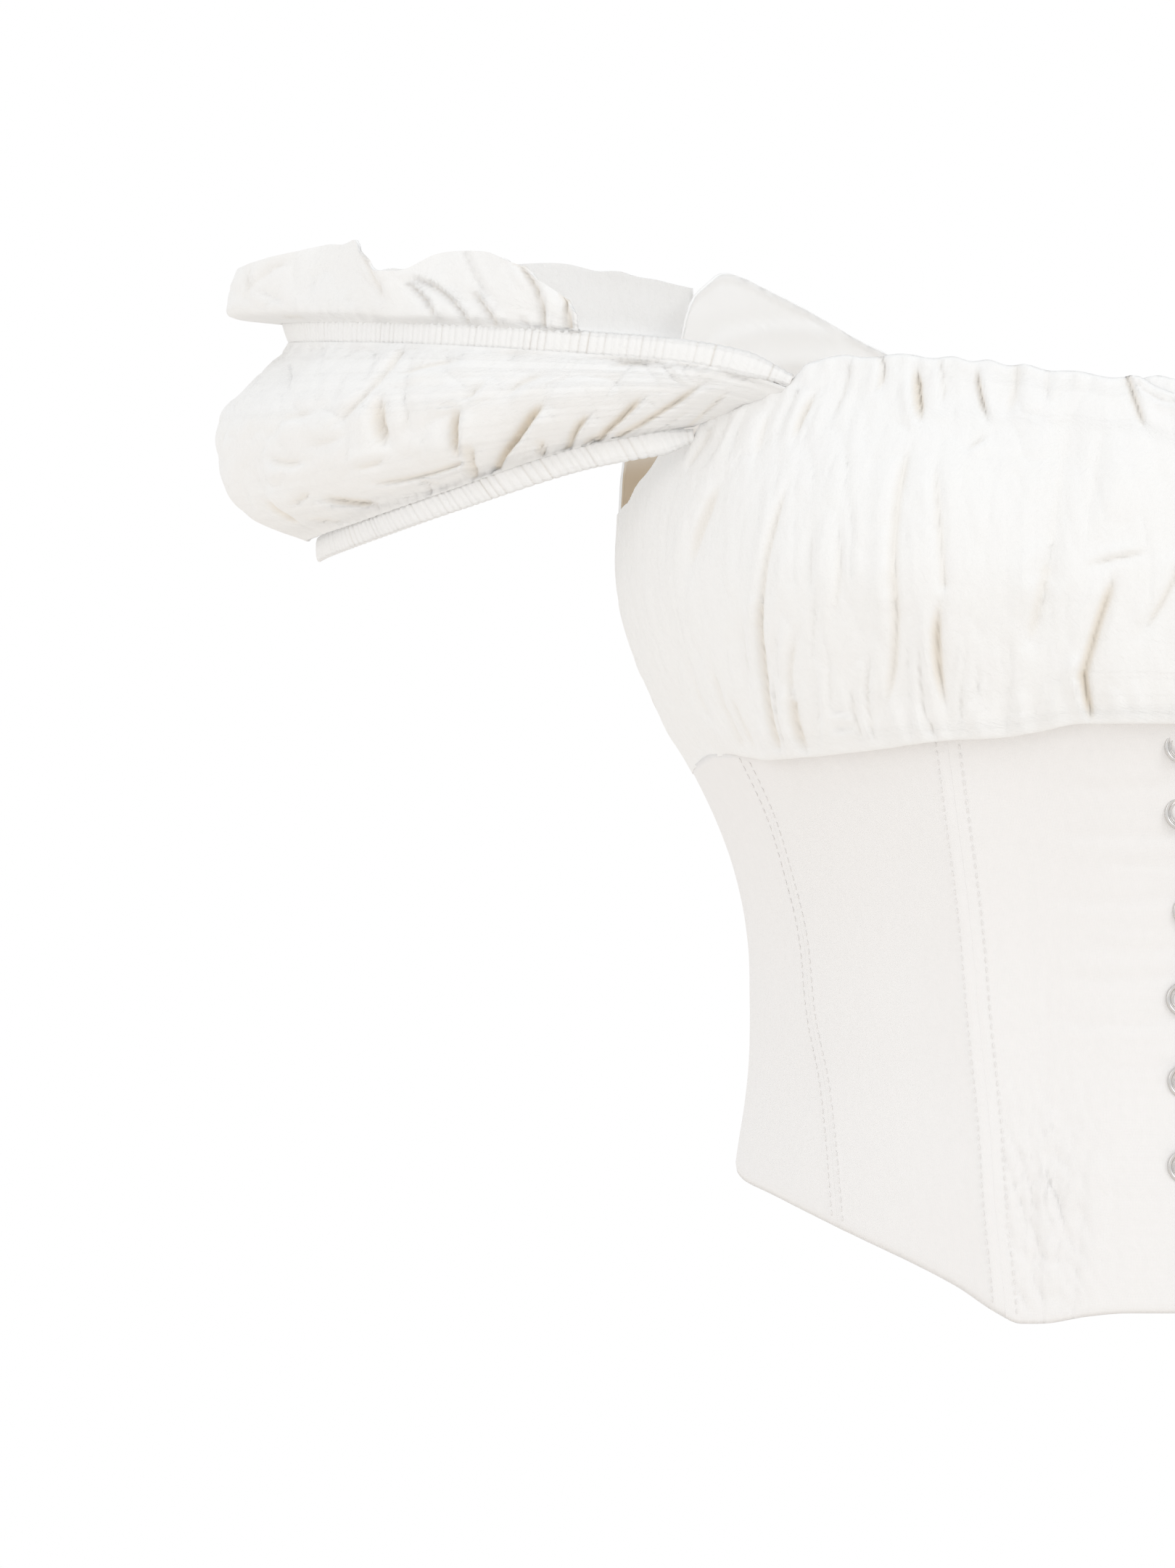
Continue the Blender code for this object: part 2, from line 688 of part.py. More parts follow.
def make_ruffle(side):
    sign = SIDES[side]
    foot = BAND_HALF_HEIGHT["top"] + SEAM_GAP

    def place(u, v):
        s = mix(RUFFLE_START, 1.0, u if sign > 0 else 1 - u)
        base, out, rise = band_frame("top", s, sign)
        height, lean = read(RUFFLE_SHAPE, s)
        ends = ease(0.0, RUFFLE_END_FADE[0], s - RUFFLE_START) * ease(0.0, RUFFLE_END_FADE[1], 1 - s)
        calm = mix(1.0, RUFFLE_CALM, ease(*RUFFLE_CALM_SPAN, s))
        wave = RUFFLE_WAVE_RISE * calm * ends * math.sin(2 * math.pi * RUFFLE_WAVES * s) * v
        return base + rise * foot + UP * height * v + out * (lean * read(RUFFLE_ROWS, v)[0] + wave)

    rows = [row[0] for row in RUFFLE_ROWS]
    cloth(f"sleeve_ruffle_{side}", shares(RUFFLE_COLUMNS), rows, place, "crinkled_cotton",
          GAUZE_WALL, False)


def make_casing(kind, side):
    """An elasticated channel: a flat tube whose outer face is ribbed by its gathers."""
    sign = SIDES[side]
    half = BAND_HALF_HEIGHT[kind]
    section = [
        (BAND_BACK, BAND_BACK_INSET - half),
        (BAND_BACK, half - BAND_BACK_INSET),
        (BAND_EDGE, half),
        (BAND_FACE, half / 2),
        (BAND_FACE, -half / 2),
        (BAND_EDGE, -half),
    ]
    stations = 2 * BAND_RIDGES[kind]
    bm = bmesh.new()
    bmesh.ops.create_grid(bm, x_segments=stations, y_segments=len(section), size=1.0)
    for vert in bm.verts:
        station = round((vert.co.x + 1) / 2 * stations)
        corner = round((vert.co.y + 1) / 2 * len(section)) % len(section)
        middle, out, rise = band_frame(kind, station / stations, sign)
        away, up = section[corner]
        if away > 0:
            away += BAND_RIDGE_RISE * (-1) ** station
        vert.co = middle + out * away + rise * up
    bmesh.ops.remove_doubles(bm, verts=bm.verts, dist=0.00001)
    bmesh.ops.holes_fill(bm, edges=[edge for edge in bm.edges if edge.is_boundary])
    bmesh.ops.recalc_face_normals(bm, faces=bm.faces)
    mesh = bpy.data.meshes.new(f"sleeve_{kind}_casing_{side}")
    bm.to_mesh(mesh)
    bm.free()
    add_object(mesh.name, mesh, "crinkled_cotton")


def make_ring(number, z, x):
    """A ring snap, lying on the upper layer of the lap."""
    tube = (RING_OUTER - RING_HOLE) / 4
    turn = angle_at(x, z)
    across = figure(angle_at(x + RING_REACH, z), z) - figure(angle_at(x - RING_REACH, z), z)
    upward = figure(turn, z + RING_REACH) - figure(turn, z - RING_REACH)
    away = across.cross(upward).normalized()
    bpy.ops.mesh.primitive_torus_add(
        location=figure(turn, z, CORSET_LIFT) + away * (tube + RING_SEAT),
        rotation=away.to_track_quat("Z", "Y").to_euler(),
        major_radius=RING_OUTER / 2 - tube, minor_radius=tube,
        major_segments=16, minor_segments=6)
    ring = bpy.context.object
    ring.name = ring.data.name = f"ring_{number}"
    ring.data.materials.append(material("silver_metal"))
    ring.data.shade_smooth()
    for owner in ring.users_collection:
        owner.objects.unlink(ring)
    collection().objects.link(ring)


def main():
    for old in list(bpy.data.objects):
        bpy.data.objects.remove(old, do_unlink=True)
    make_corset()
    make_bust_back()
    for side in SIDES:
        make_bust_front(side)
        make_puff(side)
        make_ruffle(side)
        make_casing("top", side)
        make_casing("hem", side)
    for number, (z, x) in enumerate(RINGS, start=1):
        make_ring(number, z, x)


main()
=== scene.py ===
import math
from collections import namedtuple

import bmesh
import bpy
import numpy as np
from bpy.props import FloatProperty, FloatVectorProperty, PointerProperty
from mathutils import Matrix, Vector, noise


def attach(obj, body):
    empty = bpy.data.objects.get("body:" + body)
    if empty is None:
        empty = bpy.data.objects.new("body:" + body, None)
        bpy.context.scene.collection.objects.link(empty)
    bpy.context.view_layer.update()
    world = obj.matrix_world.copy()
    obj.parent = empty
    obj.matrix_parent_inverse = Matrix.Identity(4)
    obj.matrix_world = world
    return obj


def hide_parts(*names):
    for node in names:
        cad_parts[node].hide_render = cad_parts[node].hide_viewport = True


bl_info = {
    "name": "Bustier top",
    "version": (1, 0, 0),
    "blender": (4, 5, 0),
    "location": "3D View > Sidebar > Bustier",
    "description": "Sews the bustier top's cloth, stitching and metal over its solids",
    "category": "Object",
}

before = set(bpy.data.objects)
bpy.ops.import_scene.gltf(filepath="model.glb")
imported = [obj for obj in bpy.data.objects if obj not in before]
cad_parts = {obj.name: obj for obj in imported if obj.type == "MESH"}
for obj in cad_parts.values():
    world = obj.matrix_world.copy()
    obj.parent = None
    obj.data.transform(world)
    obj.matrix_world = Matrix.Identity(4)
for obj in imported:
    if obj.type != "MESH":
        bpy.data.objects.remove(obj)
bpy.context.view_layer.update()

MM = 0.001
MERGE_DISTANCE = 0.00001
UP = np.array([0.0, 0.0, 1.0])
SIDES = {"right": -1, "left": 1}

# The figure under the cloth's outer face, in mm: height, half width before and behind the side
# seam, front depth, back depth
FIGURE = [
    (-100.0, 130.0, 130.0, 93.0, 95.0),
    (-55.0, 126.5, 126.5, 90.5, 91.5),
    (-25.0, 122.4, 122.4, 87.2, 87.5),
    (0.0, 122.0, 122.0, 86.5, 86.0),
    (30.0, 126.2, 126.2, 89.5, 87.0),
    (57.0, 137.3, 137.3, 96.0, 88.5),
    (72.0, 146.5, 146.5, 102.0, 89.5),
    (92.0, 155.0, 155.0, 109.0, 90.0),
    (116.0, 159.2, 159.2, 114.0, 90.5),
    (135.0, 158.0, 159.4, 113.0, 90.5),
    (152.0, 153.5, 159.4, 108.0, 90.0),
    (170.0, 150.5, 158.6, 101.5, 89.0),
    (190.0, 150.5, 158.0, 98.0, 88.5),
    (205.0, 150.5, 158.5, 97.0, 88.0),
]
# How square the cross-section is: 2 is an ellipse
FRONT_ROUNDNESS = 2.4
BACK_ROUNDNESS = 2.8
# Each cup: how far it stands out, where its middle is, and how far it spreads
CUP_RISE, CUP_X, CUP_Z = 12.0, 80.0, 116.0
CUP_SPREAD_X, CUP_SPREAD_Z = 48.0, 36.0
# Cups and ridges fade out over this many degrees before the side seam
SIDE_FADE = 10.0

# Seams of the corset, in mm: height, x
PRINCESS_SEAM = [(-100.0, 47.0), (-80.0, 48.6), (-61.0, 50.5), (-38.0, 52.0), (-10.0, 54.8),
                 (16.0, 57.0), (41.0, 60.0), (75.0, 65.0)]
SIDE_FRONT_SEAM = [(-90.0, 92.5), (-62.0, 95.0), (-41.0, 97.0), (-26.0, 98.9), (-10.0, 102.3),
                   (14.5, 105.0), (31.0, 109.0), (46.0, 113.5), (64.0, 121.5)]
BACK_SEAM = [(-90.0, 60.0), (0.0, 52.0), (70.0, 64.0)]
SIDE_BACK_ANGLE = 100.0
# The ridge beside the princess seam: how far it stands out, how wide it is, how far from the seam
# its crest is, and the heights over which it fades
PRINCESS_RISE, PRINCESS_REACH, PRINCESS_CREST = 5.5, 22.0, 2.6
PRINCESS_FADE = (40.0, 85.0)

# Edges round the body, in degrees and mm: angle, height
HEM = [(0.0, -88.9), (4.2, -88.9), (8.6, -89.9), (12.6, -91.7), (15.8, -91.9), (18.9, -88.8),
       (24.5, -81.8), (39.0, -70.3), (59.9, -59.2), (75.0, -55.3), (90.0, -52.2), (120.0, -55.0),
       (180.0, -60.0)]
UNDERBUST = [(0.0, 72.8), (7.5, 72.8), (11.5, 70.8), (15.0, 69.2), (22.0, 68.2), (32.0, 65.5),
             (48.0, 63.0), (60.0, 62.5), (66.0, 62.2), (75.0, 59.8), (90.0, 57.5), (120.0, 60.0),
             (180.0, 62.0)]
FRONT_TOP = [(0.0, 165.5), (5.0, 165.8), (12.7, 168.7), (17.4, 170.3), (27.6, 172.0),
             (36.5, 172.0), (39.5, 169.5), (42.0, 165.5), (45.0, 162.5), (50.0, 159.0),
             (55.5, 156.2), (59.0, 151.5), (65.5, 148.5), (68.6, 146.0), (71.3, 139.5),
             (75.5, 135.2), (83.7, 131.5), (90.0, 130.8)]
BACK_TOP = [(90.0, 131.0), (91.5, 137.5), (93.5, 144.5), (97.0, 149.5), (105.0, 152.0),
            (111.0, 155.0), (114.5, 162.0), (116.5, 173.0), (118.0, 184.0), (119.5, 190.5),
            (121.5, 195.0), (124.2, 198.5), (128.8, 202.0), (134.0, 199.7), (155.2, 179.0),
            (165.1, 168.5), (174.4, 160.5), (180.0, 159.0)]

# The centre front: the wearer's right laps over the left. How wide the lap is, where it starts to
# lift and over what width, how far it lies out, and how much lower its neckline is
LAP_HALF, LAP_START, LAP_EASE = 12.0, 14.0, 30.0
CORSET_LIFT, BUST_LIFT = 1.9, 2.2
LAP_NECK_DROP, LAP_NECK_START = 11.0, 16.0

# How the bust cloth rolls over the underbust seam, in mm: share of the roll, out, up, plain up
ROLL = [
    (0.0, -1.6, 1.5, 0.2),
    (0.14, 0.2, 0.9, 0.8),
    (0.32, 2.2, -0.9, 1.5),
    (0.52, 4.4, -1.4, 2.8),
    (0.74, 5.4, 0.1, 4.6),
    (1.0, 5.4, 6.0, 7.5),
]
ROLL_ROWS = 26
# The angles over which the roll fades towards the side, and the width over which the lap holds it
ROLL_FADE = (48.0, 65.0)
ROLL_LAP_EASE = 14.0
# How far the bust cloth stands out above its seam: height over the seam, distance
BLOUSE = [(6.0, 5.4), (16.0, 4.4), (30.0, 2.4), (48.0, 0.6), (60.0, 0.0)]

# A crease is a soft trough on a bent line through three points, in mm on the front. Its steep
# wall is on one side (-1 or 1), and each end is tapered (0) or stays open (1).
Crease = namedtuple("Crease", "xa za xm zm xb zb depth width steep open_a open_b")
BUST_CREASES = [
    Crease(83.4, 172.0, 82.3, 166.5, 85.2, 159.5, 2.0, 1.6, 1, 1, 0),
    Crease(86.0, 160.0, 86.8, 152.0, 86.6, 143.0, 0.7, 2.0, 1, 0, 0),
    Crease(73.4, 171.0, 72.6, 161.0, 71.2, 150.5, 4.0, 1.9, 1, 0, 0),
    Crease(56.6, 170.0, 55.6, 161.5, 52.4, 150.5, 3.0, 1.7, -1, 0, 0),
    Crease(60.4, 144.5, 56.6, 147.4, 52.6, 149.5, 1.5, 1.4, 1, 0, 0),
    Crease(46.0, 169.0, 46.5, 161.0, 50.0, 152.0, 2.2, 3.6, -1, 1, 0),
    Crease(15.2, 165.0, 12.6, 157.0, 10.0, 149.0, 2.6, 1.8, -1, 1, 0),
    Crease(12.8, 164.0, 8.8, 160.4, 3.0, 158.6, 1.2, 1.3, 1, 1, 1),
    Crease(99.0, 165.0, 104.5, 155.5, 107.3, 146.0, 2.2, 1.7, 1, 0, 0),
    Crease(97.5, 163.0, 102.2, 154.0, 104.0, 146.0, 0.8, 1.5, -1, 0, 0),
    Crease(112.0, 160.5, 115.6, 151.0, 118.5, 139.0, 1.4, 2.2, 1, 0, 0),
    Crease(105.6, 142.0, 112.2, 124.0, 116.0, 102.0, 1.8, 1.9, 1, 0, 1),
    Crease(116.0, 103.0, 115.6, 85.0, 111.0, 65.0, 2.4, 1.5, 1, 1, 1),
    Crease(109.5, 123.0, 111.5, 112.0, 113.0, 100.0, 0.7, 1.6, -1, 0, 0),
    Crease(104.0, 100.0, 107.6, 87.0, 106.9, 76.0, 1.5, 2.0, 1, 0, 1),
    Crease(107.0, 77.0, 106.4, 71.0, 103.8, 64.0, 2.6, 1.7, 1, 1, 1),
    Crease(72.0, 152.0, 77.6, 134.0, 78.8, 108.0, 2.1, 3.0, 1, 0, 1),
    Crease(78.8, 110.0, 79.0, 90.0, 82.6, 69.0, 2.1, 2.7, 1, 1, 0),
    Crease(67.8, 148.0, 66.8, 130.0, 65.2, 109.0, 1.6, 2.4, 1, 0, 1),
    Crease(65.2, 109.0, 67.5, 91.0, 63.4, 71.0, 3.6, 2.3, 1, 0, 0),
    Crease(70.2, 74.0, 68.4, 69.0, 65.6, 65.0, 2.2, 1.6, 1, 0, 1),
    Crease(30.0, 164.0, 33.8, 138.0, 37.5, 112.0, 2.9, 4.8, 1, 0, 1),
    Crease(37.5, 113.0, 40.0, 102.0, 44.0, 88.0, 2.4, 3.6, 1, 1, 0),
    Crease(21.5, 156.0, 24.0, 138.0, 27.5, 120.0, 1.5, 3.8, -1, 0, 0),
    Crease(30.5, 112.0, 31.5, 105.0, 33.0, 98.0, 0.8, 2.2, 1, 0, 0),
    Crease(17.8, 113.5, 22.6, 101.0, 27.7, 84.0, 3.5, 2.6, 1, 0, 1),
    Crease(27.4, 85.0, 26.6, 79.0, 24.6, 70.0, 4.4, 2.1, 1, 1, 1),
    Crease(28.5, 113.0, 18.0, 116.2, 8.5, 117.3, 1.5, 1.5, -1, 0, 0),
    Crease(2.0, 112.5, 6.5, 103.5, 13.0, 93.5, 1.8, 2.2, 1, 1, 0),
    Crease(124.0, 142.0, 132.5, 127.0, 137.2, 107.0, 2.0, 2.6, 1, 0, 0),
    Crease(137.5, 146.0, 142.5, 128.0, 143.5, 108.0, 0.8, 2.2, 1, 1, 0),
    Crease(131.0, 152.0, 134.5, 146.0, 140.0, 138.5, 1.4, 1.6, 1, 1, 0),
    Crease(125.0, 155.0, 129.0, 147.0, 133.5, 140.0, 0.9, 1.6, -1, 1, 0),
    Crease(118.0, 162.0, 123.0, 152.0, 126.0, 144.0, 0.8, 2.0, 1, 1, 0),
    Crease(137.5, 92.0, 134.0, 79.0, 126.5, 67.0, 1.2, 1.7, 1, 0, 0),
    Crease(121.0, 104.0, 120.6, 92.0, 117.6, 76.0, 1.1, 1.4, -1, 0, 0),
    Crease(113.5, 88.0, 112.0, 76.0, 108.4, 62.0, 1.3, 1.2, 1, 0, 1),
    Crease(110.6, 100.0, 111.4, 88.0, 110.2, 78.0, 0.9, 1.3, -1, 0, 0),
    Crease(99.0, 112.0, 100.8, 98.0, 100.6, 86.0, 0.9, 1.5, 1, 0, 0),
    Crease(84.6, 92.0, 86.4, 80.0, 84.0, 65.0, 1.2, 1.3, 1, 0, 1),
    Crease(71.0, 98.0, 71.6, 84.0, 69.6, 66.0, 1.1, 1.3, 1, 0, 1),
    Crease(61.2, 90.0, 60.6, 76.0, 62.0, 62.0, 1.0, 1.2, -1, 0, 1),
    Crease(91.5, 168.0, 94.0, 160.0, 97.6, 152.0, 1.3, 1.6, -1, 1, 0),
    Crease(66.8, 170.0, 65.6, 163.0, 66.2, 155.0, 1.4, 1.6, 1, 1, 0),
    Crease(36.5, 171.0, 37.4, 164.0, 36.4, 157.0, 1.2, 1.8, -1, 1, 0),
    Crease(106.5, 161.0, 110.0, 153.0, 112.5, 145.0, 1.0, 1.5, 1, 1, 0),
    Crease(131.5, 92.0, 128.0, 79.0, 121.0, 62.0, 1.3, 1.8, 1, 0, 1),
    Crease(126.0, 83.0, 122.5, 73.0, 117.5, 61.0, 1.4, 1.6, 1, 0, 1),
    Crease(100.0, 130.0, 101.6, 116.0, 101.2, 101.0, 1.1, 2.0, -1, 0, 0),
    Crease(94.5, 132.0, 94.0, 112.0, 96.3, 92.0, 1.2, 2.2, 1, 0, 0),
    Crease(96.5, 92.0, 96.6, 82.0, 95.2, 70.0, 1.0, 1.6, 1, 0, 0),
    Crease(89.5, 134.0, 90.4, 120.0, 89.6, 100.0, 0.7, 1.8, -1, 0, 0),
    Crease(92.0, 148.0, 92.0, 138.0, 93.5, 127.0, 0.6, 2.0, 1, 0, 0),
    Crease(101.5, 90.0, 99.8, 78.0, 100.2, 65.0, 0.9, 1.5, -1, 0, 1),
    Crease(90.4, 84.0, 90.0, 74.0, 86.0, 64.0, 1.2, 1.5, 1, 0, 1),
    Crease(60.4, 100.0, 59.6, 88.0, 60.6, 74.0, 0.8, 1.5, 1, 0, 0),
    Crease(56.8, 94.0, 56.0, 84.0, 57.2, 72.0, 0.6, 1.4, -1, 0, 0),
    Crease(74.5, 100.0, 75.0, 86.0, 73.6, 66.0, 0.7, 1.7, -1, 0, 1),
    Crease(49.0, 98.0, 47.0, 86.0, 48.5, 68.0, 0.8, 2.4, -1, 0, 1),
    Crease(38.0, 86.0, 37.0, 78.0, 38.0, 68.0, 0.7, 1.8, 1, 0, 1),
    Crease(98.5, 75.4, 92.5, 74.4, 86.6, 75.0, 0.9, 1.2, 1, 0, 0),
    Crease(97.5, 70.8, 93.0, 69.8, 88.0, 70.8, 0.8, 1.1, 1, 0, 0),
    Crease(50.0, 76.0, 45.0, 74.6, 39.0, 75.4, 0.6, 1.2, 1, 0, 0),
]
# The left front's creases lie up to this far from the right's, changing over this distance
LEFT_SHIFT, LEFT_SHIFT_WIDTH = 3.4, 21.0

# The sleeve's folds, in mm on the front
SLEEVE_CREASES = [
    Crease(174.0, 161.0, 181.5, 153.2, 189.2, 143.0, 5.2, 2.5, -1, 0, 1),
    Crease(166.5, 171.0, 169.0, 166.5, 174.0, 160.5, 0.8, 1.6, 1, 1, 0),
    Crease(176.6, 151.5, 176.8, 147.0, 174.8, 141.5, 3.0, 1.7, 1, 0, 1),
    Crease(161.5, 158.0, 167.2, 152.0, 170.8, 144.0, 4.0, 2.0, -1, 0, 1),
    Crease(150.5, 170.5, 156.5, 163.5, 161.5, 157.5, 0.8, 1.5, -1, 1, 0),
    Crease(146.5, 163.0, 153.6, 156.4, 161.0, 150.2, 4.0, 2.0, -1, 0, 1),
    Crease(160.5, 150.8, 163.6, 149.6, 165.8, 146.4, 2.6, 1.5, 1, 1, 1),
    Crease(128.0, 167.5, 141.0, 158.8, 155.5, 150.8, 3.2, 1.7, -1, 0, 1),
    Crease(133.5, 159.2, 137.5, 156.6, 141.5, 154.0, 1.2, 1.2, -1, 0, 1),
    Crease(121.5, 165.5, 130.5, 158.0, 137.8, 152.0, 2.0, 1.4, -1, 0, 1),
    Crease(126.0, 158.6, 130.0, 155.2, 134.5, 151.6, 1.2, 1.2, -1, 0, 1),
    Crease(188.5, 158.5, 181.5, 165.3, 171.0, 166.8, 1.8, 2.0, 1, 0, 0),
    Crease(199.4, 160.5, 201.0, 151.5, 198.6, 142.5, 4.6, 2.7, -1, 0, 0),
    Crease(196.4, 151.0, 196.8, 144.5, 195.4, 138.0, 3.4, 1.8, 1, 0, 1),
    Crease(221.6, 165.5, 222.8, 155.0, 220.4, 145.6, 3.4, 3.0, 1, 0, 0),
    Crease(220.0, 146.4, 225.6, 143.2, 233.0, 142.2, 1.8, 1.8, 1, 0, 0),
    Crease(220.5, 166.2, 208.5, 170.2, 193.0, 172.0, 1.9, 1.6, 1, 0, 0),
    Crease(200.5, 160.8, 195.0, 162.8, 190.6, 170.5, 1.7, 1.6, 1, 0, 0),
    Crease(249.5, 132.0, 246.0, 134.6, 242.0, 137.4, 2.0, 1.6, -1, 0, 0),
    Crease(244.0, 135.6, 233.0, 133.6, 218.0, 132.6, 3.0, 1.9, 1, 0, 0),
    Crease(229.5, 138.4, 216.0, 139.4, 199.5, 143.4, 2.4, 1.7, 1, 0, 1),
    Crease(215.5, 140.2, 209.0, 138.6, 202.5, 137.4, 1.4, 1.3, -1, 0, 0),
    Crease(224.8, 134.5, 224.0, 132.0, 223.4, 129.5, 1.3, 1.2, 1, 0, 1),
    Crease(209.6, 138.5, 209.0, 136.8, 208.2, 134.8, 1.3, 1.2, -1, 0, 1),
    Crease(249.5, 129.4, 238.5, 128.6, 228.0, 126.8, 1.8, 1.6, 1, 0, 0),
    Crease(260.0, 135.5, 253.5, 131.2, 245.0, 127.2, 3.2, 2.4, -1, 0, 0),
    Crease(258.0, 146.8, 250.5, 144.4, 242.0, 145.0, 2.0, 2.9, 1, 0, 0),
    Crease(250.6, 171.0, 250.4, 167.0, 249.2, 163.5, 1.0, 1.5, 1, 1, 0),
    Crease(238.5, 151.5, 227.0, 162.0, 216.5, 174.0, 1.8, 1.8, -1, 0, 1),
    Crease(236.0, 160.0, 233.4, 165.0, 232.0, 170.5, 0.7, 1.5, 1, 0, 0),
    Crease(255.5, 154.5, 247.0, 157.2, 239.0, 157.6, 1.6, 3.0, 1, 0, 0),
    Crease(252.0, 162.0, 251.8, 155.5, 256.5, 150.0, 0.9, 1.8, -1, 0, 0),
    Crease(231.0, 151.0, 238.0, 149.8, 246.5, 147.6, 1.3, 2.6, 1, 0, 0),
    Crease(214.0, 161.0, 214.8, 154.5, 217.0, 149.0, 1.0, 2.6, 1, 0, 0),
    Crease(206.0, 160.0, 203.0, 158.8, 199.0, 160.0, 0.8, 1.3, 1, 0, 0),
    Crease(160.0, 168.0, 152.0, 170.4, 143.0, 168.6, 1.4, 1.6, 1, 0, 0),
    Crease(143.0, 170.5, 139.0, 165.5, 133.5, 163.0, 0.7, 1.4, -1, 1, 0),
]
RUFFLE_CREASES = [
    Crease(219.2, 195.6, 210.2, 189.8, 206.0, 181.5, 1.7, 1.0, -1, 0, 1),
    Crease(218.0, 195.0, 206.0, 191.6, 196.4, 181.5, 1.7, 1.0, -1, 0, 1),
    Crease(198.4, 202.5, 193.6, 192.5, 188.6, 185.5, 0.9, 1.4, -1, 1, 0),
    Crease(197.2, 192.2, 192.6, 186.6, 188.8, 181.5, 2.0, 1.4, -1, 0, 1),
    Crease(184.0, 198.4, 177.8, 191.0, 176.0, 181.0, 2.4, 1.5, -1, 1, 1),
    Crease(179.5, 198.0, 171.4, 190.8, 168.6, 180.5, 3.4, 1.6, -1, 0, 1),
    Crease(182.4, 184.0, 181.4, 182.4, 180.0, 180.6, 1.2, 1.1, -1, 0, 1),
    Crease(226.8, 200.0, 223.4, 193.0, 221.2, 186.5, 1.6, 1.8, -1, 1, 0),
    Crease(232.4, 191.0, 231.8, 189.0, 231.0, 186.5, 0.7, 1.3, 1, 0, 0),
    Crease(244.0, 198.5, 243.0, 195.0, 242.4, 192.0, 0.7, 1.6, 1, 0, 0),
    Crease(261.2, 193.8, 255.6, 199.0, 247.5, 201.2, 1.3, 1.8, -1, 1, 0),
    Crease(259.8, 201.0, 262.4, 194.5, 261.2, 186.0, 2.2, 1.5, -1, 0, 0),
    Crease(261.0, 193.6, 256.4, 191.4, 251.6, 188.2, 0.9, 1.5, 1, 1, 0),
    Crease(255.0, 184.9, 249.5, 185.6, 241.0, 184.0, 1.6, 1.5, 1, 0, 0),
]

# Drag creases of the front centre panel, in mm on the front
CENTRE_CREASES = [
    Crease(33.0, -22.0, 35.0, -50.0, 34.0, -84.0, 0.50, 2.4, 1, 0, 0),
    Crease(40.0, -30.0, 40.5, -58.0, 38.5, -90.0, 0.60, 2.2, -1, 0, 1),
    Crease(45.5, -34.0, 44.5, -60.0, 43.0, -88.0, 0.50, 1.8, 1, 0, 0),
    Crease(26.0, -38.0, 28.0, -60.0, 30.0, -88.0, 0.45, 2.6, -1, 0, 1),
    Crease(18.0, -44.0, 20.0, -62.0, 23.0, -86.0, 0.35, 2.8, 1, 0, 0),
    Crease(37.0, 10.0, 38.0, -8.0, 37.0, -26.0, 0.25, 2.8, 1, 0, 0),
    Crease(3.0, 56.5, 20.0, 54.0, 40.0, 57.0, 0.45, 2.4, 1, 1, 0),
    Crease(2.0, 42.0, 20.0, 40.5, 42.0, 42.5, 0.45, 2.6, -1, 1, 0),
    Crease(2.0, 34.5, 14.0, 33.5, 26.0, 35.0, 0.30, 2.2, 1, 1, 0),
    Crease(3.0, 24.0, 22.0, 22.5, 44.0, 25.0, 0.45, 2.6, -1, 1, 0),
    Crease(3.0, 10.5, 16.0, 10.0, 30.0, 11.5, 0.30, 2.2, 1, 1, 0),
    Crease(3.0, 3.5, 20.0, 2.0, 40.0, 3.5, 0.40, 2.6, 1, 1, 0),
    Crease(3.0, -9.0, 22.0, -11.0, 43.0, -8.5, 0.45, 2.4, -1, 1, 0),
    Crease(3.0, -20.5, 14.0, -22.0, 27.0, -21.0, 0.30, 2.2, 1, 1, 0),
]

# A sleeve band lies on an oval, its ends pulled to their seats on the figure, in mm and degrees
Band = namedtuple("Band", "middle out front back start end pull front_seat back_seat half ribs")
BANDS = {
    "top": Band(135.0, 116.0, 83.0, 68.0, -103.0, 86.0, 0.16, (40.8, 165.5), (121.0, 179.0), 3.6, 180),
    "hem": Band(138.0, 105.5, 70.0, 56.0, -93.0, 88.0, 0.14, (56.5, 151.0), (118.5, 157.0), 3.3, 140),
}
# How far out of the figure the bands' seats are
SEAT_OUT = 1.9
# The heights of the bands' middle lines: share of the upper one's length, and x on the lower one
TOP_BAND_HEIGHT = [(0.0, 165.5), (0.02, 168.5), (0.045, 171.2), (0.08, 173.5), (0.14, 175.6),
                   (0.27, 179.0), (0.45, 181.4), (0.55, 182.0), (0.70, 181.5), (0.85, 180.5),
                   (1.0, 179.0)]
HEM_BAND_HEIGHT = [(130.0, 151.0), (139.0, 149.8), (167.0, 145.0), (205.0, 133.0),
                   (242.5, 121.4), (250.0, 119.5)]
HEM_BAND_BACK_RISE = 6.0
# The share of a band over which its direction is taken
BAND_STEP = 0.004
# How strongly a band's ribs show: share of its length, share of their height
RIB_STRENGTH = [(0.0, 1.0), (0.30, 1.0), (0.42, 0.7), (0.6, 0.5), (0.8, 0.8), (1.0, 1.0)]

# How far the puff swells out along its bands, and the share of that across the cloth, from the
# lower band (0) to the upper (1). Its front is fuller under the upper band than the rest is.
PUFF_SWELL = [(0.0, 0.0), (0.03, 3.6), (0.08, 7.6), (0.20, 12.4), (0.40, 19.0), (0.55, 24.7),
              (0.70, 19.0), (0.88, 10.0), (0.95, 4.0), (1.0, 0.0)]
PUFF_PROFILE = [(0.0, 0.0), (0.07, 0.65), (0.15, 0.86), (0.22, 0.96), (0.30, 1.02), (0.47, 1.05),
                (0.62, 0.96), (0.70, 0.83), (0.77, 0.63), (0.84, 0.43), (0.92, 0.19), (1.0, 0.0)]
PUFF_FRONT_PROFILE = [(0.0, 0.0), (0.07, 0.30), (0.18, 0.68), (0.35, 1.0), (0.55, 1.0),
                      (0.72, 0.78), (0.88, 0.36), (1.0, 0.0)]

